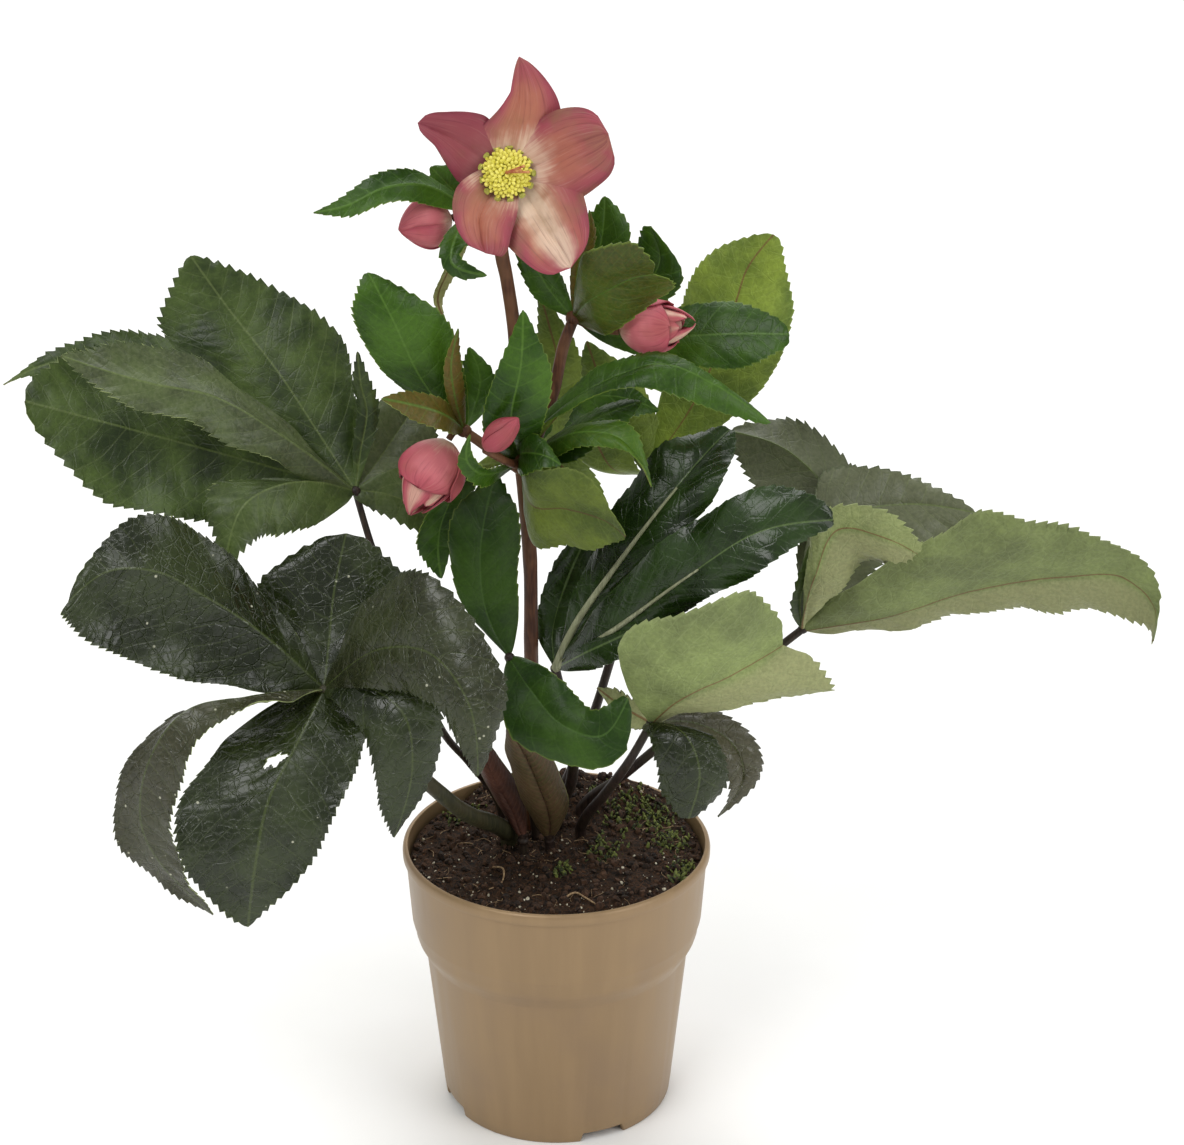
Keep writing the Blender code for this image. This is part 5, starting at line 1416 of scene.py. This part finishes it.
@dataclass
class PeatFill:
    """The pot's fill: a rough mound of peat with crumbs, perlite, root fibres and moss on it."""
    level: float = SOIL_LEVEL
    radius: float = SOIL_RADIUS
    segments: int = 220
    crumbs: int = 1700
    grains: int = 480
    fibres: int = 90
    tufts: int = 700

    def height(self, x: Array, y: Array) -> Array:
        """Height of the peat: a mound that rises to the back, with lumps of 14, 5 and 2 mm.

        Args:
            x: place across.
            y: place in depth.

        Returns:
            Heights in mm.
        """
        spot = np.stack(np.broadcast_arrays(x, y, 0.0), -1)
        mound = 2.4 * np.exp(-((x - 2) ** 2 + (y - 22) ** 2) / 900) - 0.6 * ease(np.hypot(x, y), 54, 61.5)
        back = ease(y, 18, 44) * (1 - ease(np.abs(x - 8), 32, 56))
        rough = 0.8 * noise(spot, 14, 51) + 0.65 * noise(spot, 5, 52) + 0.4 * noise(spot, 2, 53)
        return self.level + mound + 6.6 * back + rough * (1 + 0.8 * back)

    def build(self) -> None:
        """Makes the ground and what lies on it."""
        self.ground()
        self.litter()
        rng = np.random.default_rng(62)
        self.roots(rng)
        self.moss(rng)

    def ground(self) -> None:
        """Makes the body of peat: the wall's profile below and the rough surface above."""
        b, r, c, w = BASE_RADIUS, RIM_RADIUS, COLLAR_HEIGHT, WALL + 0.4
        wall = np.array(((b - 3.8, 6.7), (b - w - 0.3, 8.8), (r - 9.4 - w, c - 11.4), (r - 6.5 - w, c - 5.8),
                         (r - 3.8 - w, c + 2.5), (self.radius - 0.6, self.level - 5),
                         (self.radius, self.level - 1.8)))
        top = turned(self.radius * np.linspace(0.99, 0.02, 62)[:, None], 0.0, self.segments)
        top[..., 2] = self.height(top[..., 0], top[..., 1])
        rings = np.vstack((turned(wall[:, :1], wall[:, 1:], self.segments), top))
        shell = Shell()
        shell.add_turned(rings, [(0, 0, 6.7), (0, 0, float(self.height(0.0, 0.0)))])
        shell.piece("soil_ground", (PEAT,), "peat", "soil", 180)

    def litter(self) -> None:
        """Scatters crumbs of peat and grains of perlite over the ground, each half sunk in it."""
        rng = np.random.default_rng(61)
        shell = Shell()
        for k in range(self.crumbs + self.grains):
            grain = k >= self.crumbs
            turn, out = rng.uniform(0, 2 * np.pi), 60.5 * math.sqrt(rng.random())
            x, y = out * math.cos(turn), out * math.sin(turn)
            size = 0.2 + 0.6 * rng.random() ** 4 if grain else 0.5 + 1.5 * rng.random() ** 3
            axes = np.linalg.qr(rng.normal(size=(3, 3)))[0] * (size * rng.uniform(0.6, 1.25, 3))[:, None]
            if np.linalg.det(axes) < 0:
                axes[0] = -axes[0]
            spot = (x, y, self.height(x, y) + size * 0.25)
            add_lump(shell, spot, axes, int(grain), 4, 6, 0.45, k, (rng.uniform(-0.5, 0.6), 0, 0))
        shell.piece("soil_litter", (PEAT_CRUMB, PERLITE), "peat", "soil", 40)

    def roots(self, rng: np.random.Generator) -> None:
        """Lays root fibres: the two pale ones in front, and thin ones at random.

        Args:
            rng: draws their places, before those of the moss.
        """
        laid = [((-27, -16.5, 0.6), (-22, -22, 2.6), (-22.5, -30, 0.6), (-27.5, -35, 0.6), 0.45),
                ((4, -43, 0.6), (8, -41, 2.2), (12, -44, 1.6), (17, -48, 0.6), 0.5)]
        for _ in range(self.fibres):
            turn, out = rng.uniform(0, 2 * np.pi), 56 * math.sqrt(rng.random())
            way = rng.uniform(0, 2 * np.pi)
            hops = [np.array((out * math.cos(turn), out * math.sin(turn)))]
            for _ in range(3):
                way += rng.uniform(-0.9, 0.9)
                hops.append(hops[-1] + rng.uniform(1.5, 3.5) * np.array((math.cos(way), math.sin(way))))
            if max(np.linalg.norm(hop) for hop in hops) < 59:
                laid.append((*((*hop, rng.uniform(0.2, 1.3)) for hop in hops), rng.uniform(0.1, 0.2)))
        shell = Shell()
        for *hops, thick in laid:
            path = [(x, y, self.height(x, y) + rise) for x, y, rise in hops]
            add_tube(shell, Stalk(path, thick, thick * 0.6), sides=6, spacing=1.0)
        shell.piece("soil_fibres", (ROOT_SKIN,), "peat", "soil", 60)

    def moss(self, rng: np.random.Generator) -> None:
        """Plants tufts of moss in beds, (x, y, spread), which gather to the back and the right.

        Args:
            rng: draws their places.
        """
        shell = Shell()
        beds = ((30, 30, 16), (48, 6, 9), (54, -14, 6), (20, -2, 8), (44, 26, 10), (-40, 30, 8), (2, -20, 5),
                (52, -25, 4))
        shares = np.array([bed[2] for bed in beds]) / sum(bed[2] for bed in beds)
        for k in range(self.tufts):
            x, y, spread = beds[rng.choice(len(beds), p=shares)]
            x, y = x + rng.normal() * spread * 0.5, y + rng.normal() * spread * 0.5
            if math.hypot(x, y) > 60:
                continue
            lean = rng.normal(size=2) * 0.5
            size = rng.uniform(0.6, 1.6)
            axes = np.array(((0.55, 0, 0), (0, 0.55, 0), (*lean, 1.0))) * size
            spot = (x, y, self.height(x, y) + size * 0.5)
            add_lump(shell, spot, axes, 0, 4, 5, 0.4, k, (rng.uniform(-0.6, 0.7), 0, 0))
        shell.piece("soil_moss", (MOSS,), "peat", "soil", 60)


@dataclass
class Studio:
    """Floor, lights and camera, in metres. A light is a name, place, aim, size and power."""
    half_floor: float = 7.0
    focal_mm: float = 90.0
    camera_place: tuple = (0.015, -1.1056, 0.7159)
    pitch: float = 23.192
    sky: float = 0.48
    lights: tuple = (("key", (-0.9, -1.3, 1.9), (0, 0, 0.2), 1.2, 22.0),
                     ("fill", (1.5, -1.0, 1.1), (0, 0, 0.2), 1.0, 12.0),
                     ("top", (0.1, 0.5, 2.3), (0, 0, 0.2), 1.4, 12.0),
                     ("backdrop", (0.0, 2.6, 2.6), (0, 2.2, 0), 3.0, 64.0))

    def build(self) -> None:
        """Makes the floor, the lights and the camera."""
        half = self.half_floor
        mesh = bpy.data.meshes.new("floor")
        corners = [(-half, -half, 0), (half, -half, 0), (half, half, 0), (-half, half, 0)]
        mesh.from_pydata(corners, [], [(0, 1, 2, 3)])
        mesh.materials.append(FLOOR_PAPER.material())
        in_scene("floor", mesh)
        for name, place, aim, size, power in self.lights:
            lamp = bpy.data.lights.new(name, "AREA")
            lamp.shape, lamp.size, lamp.energy = "SQUARE", size, power
            light = in_scene(name, lamp)
            light.location = place
            ahead = unit(np.array(aim) - np.array(place))
            light.rotation_euler = (math.acos(-ahead[2]), 0, math.atan2(-ahead[0], ahead[1]))
        scene = bpy.context.scene
        scene.world = bpy.data.worlds.new("studio")
        scene.world.use_nodes = True
        background = scene.world.node_tree.nodes["Background"]
        background.inputs["Color"].default_value = colour("#ffffff")
        background.inputs["Strength"].default_value = self.sky
        scene.view_settings.view_transform = "Standard"
        lens = bpy.data.cameras.new("camera")
        lens.lens, lens.sensor_width, lens.sensor_fit = self.focal_mm, 36.0, "HORIZONTAL"
        lens.clip_start, lens.clip_end = 0.05, 40.0
        scene.camera = in_scene("camera", lens)
        scene.camera.location = self.camera_place
        scene.camera.rotation_euler = (math.radians(90 - self.pitch), 0, 0)


# Kinds of foliage: habit, upper and under finish
OLD = (OLD_HABIT, OLD_UPPER, PALE_UNDER)
DEEP = (DEEP_HABIT, DEEP_UPPER, PALE_UNDER)
FRONT = (GLOSSY_HABIT, FRONT_UPPER, PALE_UNDER)
GLOSSY = (GLOSSY_HABIT, GLOSSY_UPPER, PALE_UNDER)
BRACT = (BRACT_HABIT, BRACT_UPPER, BRACT_UNDER)
SCALE = (SCALE_HABIT, SCALE_SKIN, SCALE_SKIN)
FOLIAGE = (
    Foliage("leaf_upper_left", LEAF_A, *OLD, PETIOLE_PURPLE, "old_leaf", PETIOLE_A),
    Foliage("leaf_lower_left", LEAF_B, *DEEP, PETIOLE_GREY, "old_leaf", PETIOLE_B),
    Foliage("leaf_far_right", LEAF_C, *OLD, PETIOLE_PURPLE, "leaf_underside", PETIOLE_C),
    Foliage("leaf_lower_right", LEAF_D, *DEEP, PETIOLE_PURPLE, "leaf_underside", PETIOLE_D),
    Foliage("leaf_front", LEAF_E, *FRONT, PETIOLE_PURPLE, "young_leaf", PETIOLE_E),
    Foliage("leaf_right", LEAF_F, *GLOSSY, PETIOLE_PURPLE, "old_leaf", PETIOLE_F,
            fleshy=((0, 0.75, 1.9), (1, 0.6, 1.7))),
    Foliage("leaf_back", LEAF_K, *BRACT, PETIOLE_PURPLE, "young_leaf", PETIOLE_K),
    Foliage("sheath_front", SHEATH_FRONT, *SCALE, PETIOLE_PURPLE, "sheath", SHEATH_FRONT_FOOT, 2.6),
    Foliage("sheath_left", SHEATH_LEFT, *SCALE, PETIOLE_PURPLE, "sheath", SHEATH_LEFT_FOOT, 2.6),
    Foliage("bracts_middle", BRACTS_MIDDLE, *BRACT, STEM_RED, "young_leaf", knot=4.4),
    Foliage("bracts_left", BRACTS_LEFT, *BRACT, STEM_RED, "young_leaf", knot=3.2),
    Foliage("bracts_right", BRACTS_RIGHT, *BRACT, STEM_RED, "young_leaf", knot=3.6),
    Foliage("bracts_top", BRACTS_TOP, *BRACT, STEM_RED, "young_leaf", knot=2.9))


def main() -> None:
    """Builds the studio and every sub-assembly, and reports each piece."""
    logging.basicConfig(level=logging.INFO, format="%(message)s")
    Studio().build()
    NurseryPot().build()
    PeatFill().build()
    for seed, leaf in enumerate(FOLIAGE, 1):
        leaf.build(seed)
    FloweringStem().build()
    Bloom().build()
    for seed, (node, sizes) in enumerate(BUDS.items()):
        Bud(node, *sizes).build(seed)
    bpy.context.view_layer.update()


if __name__ == "__main__":
    main()
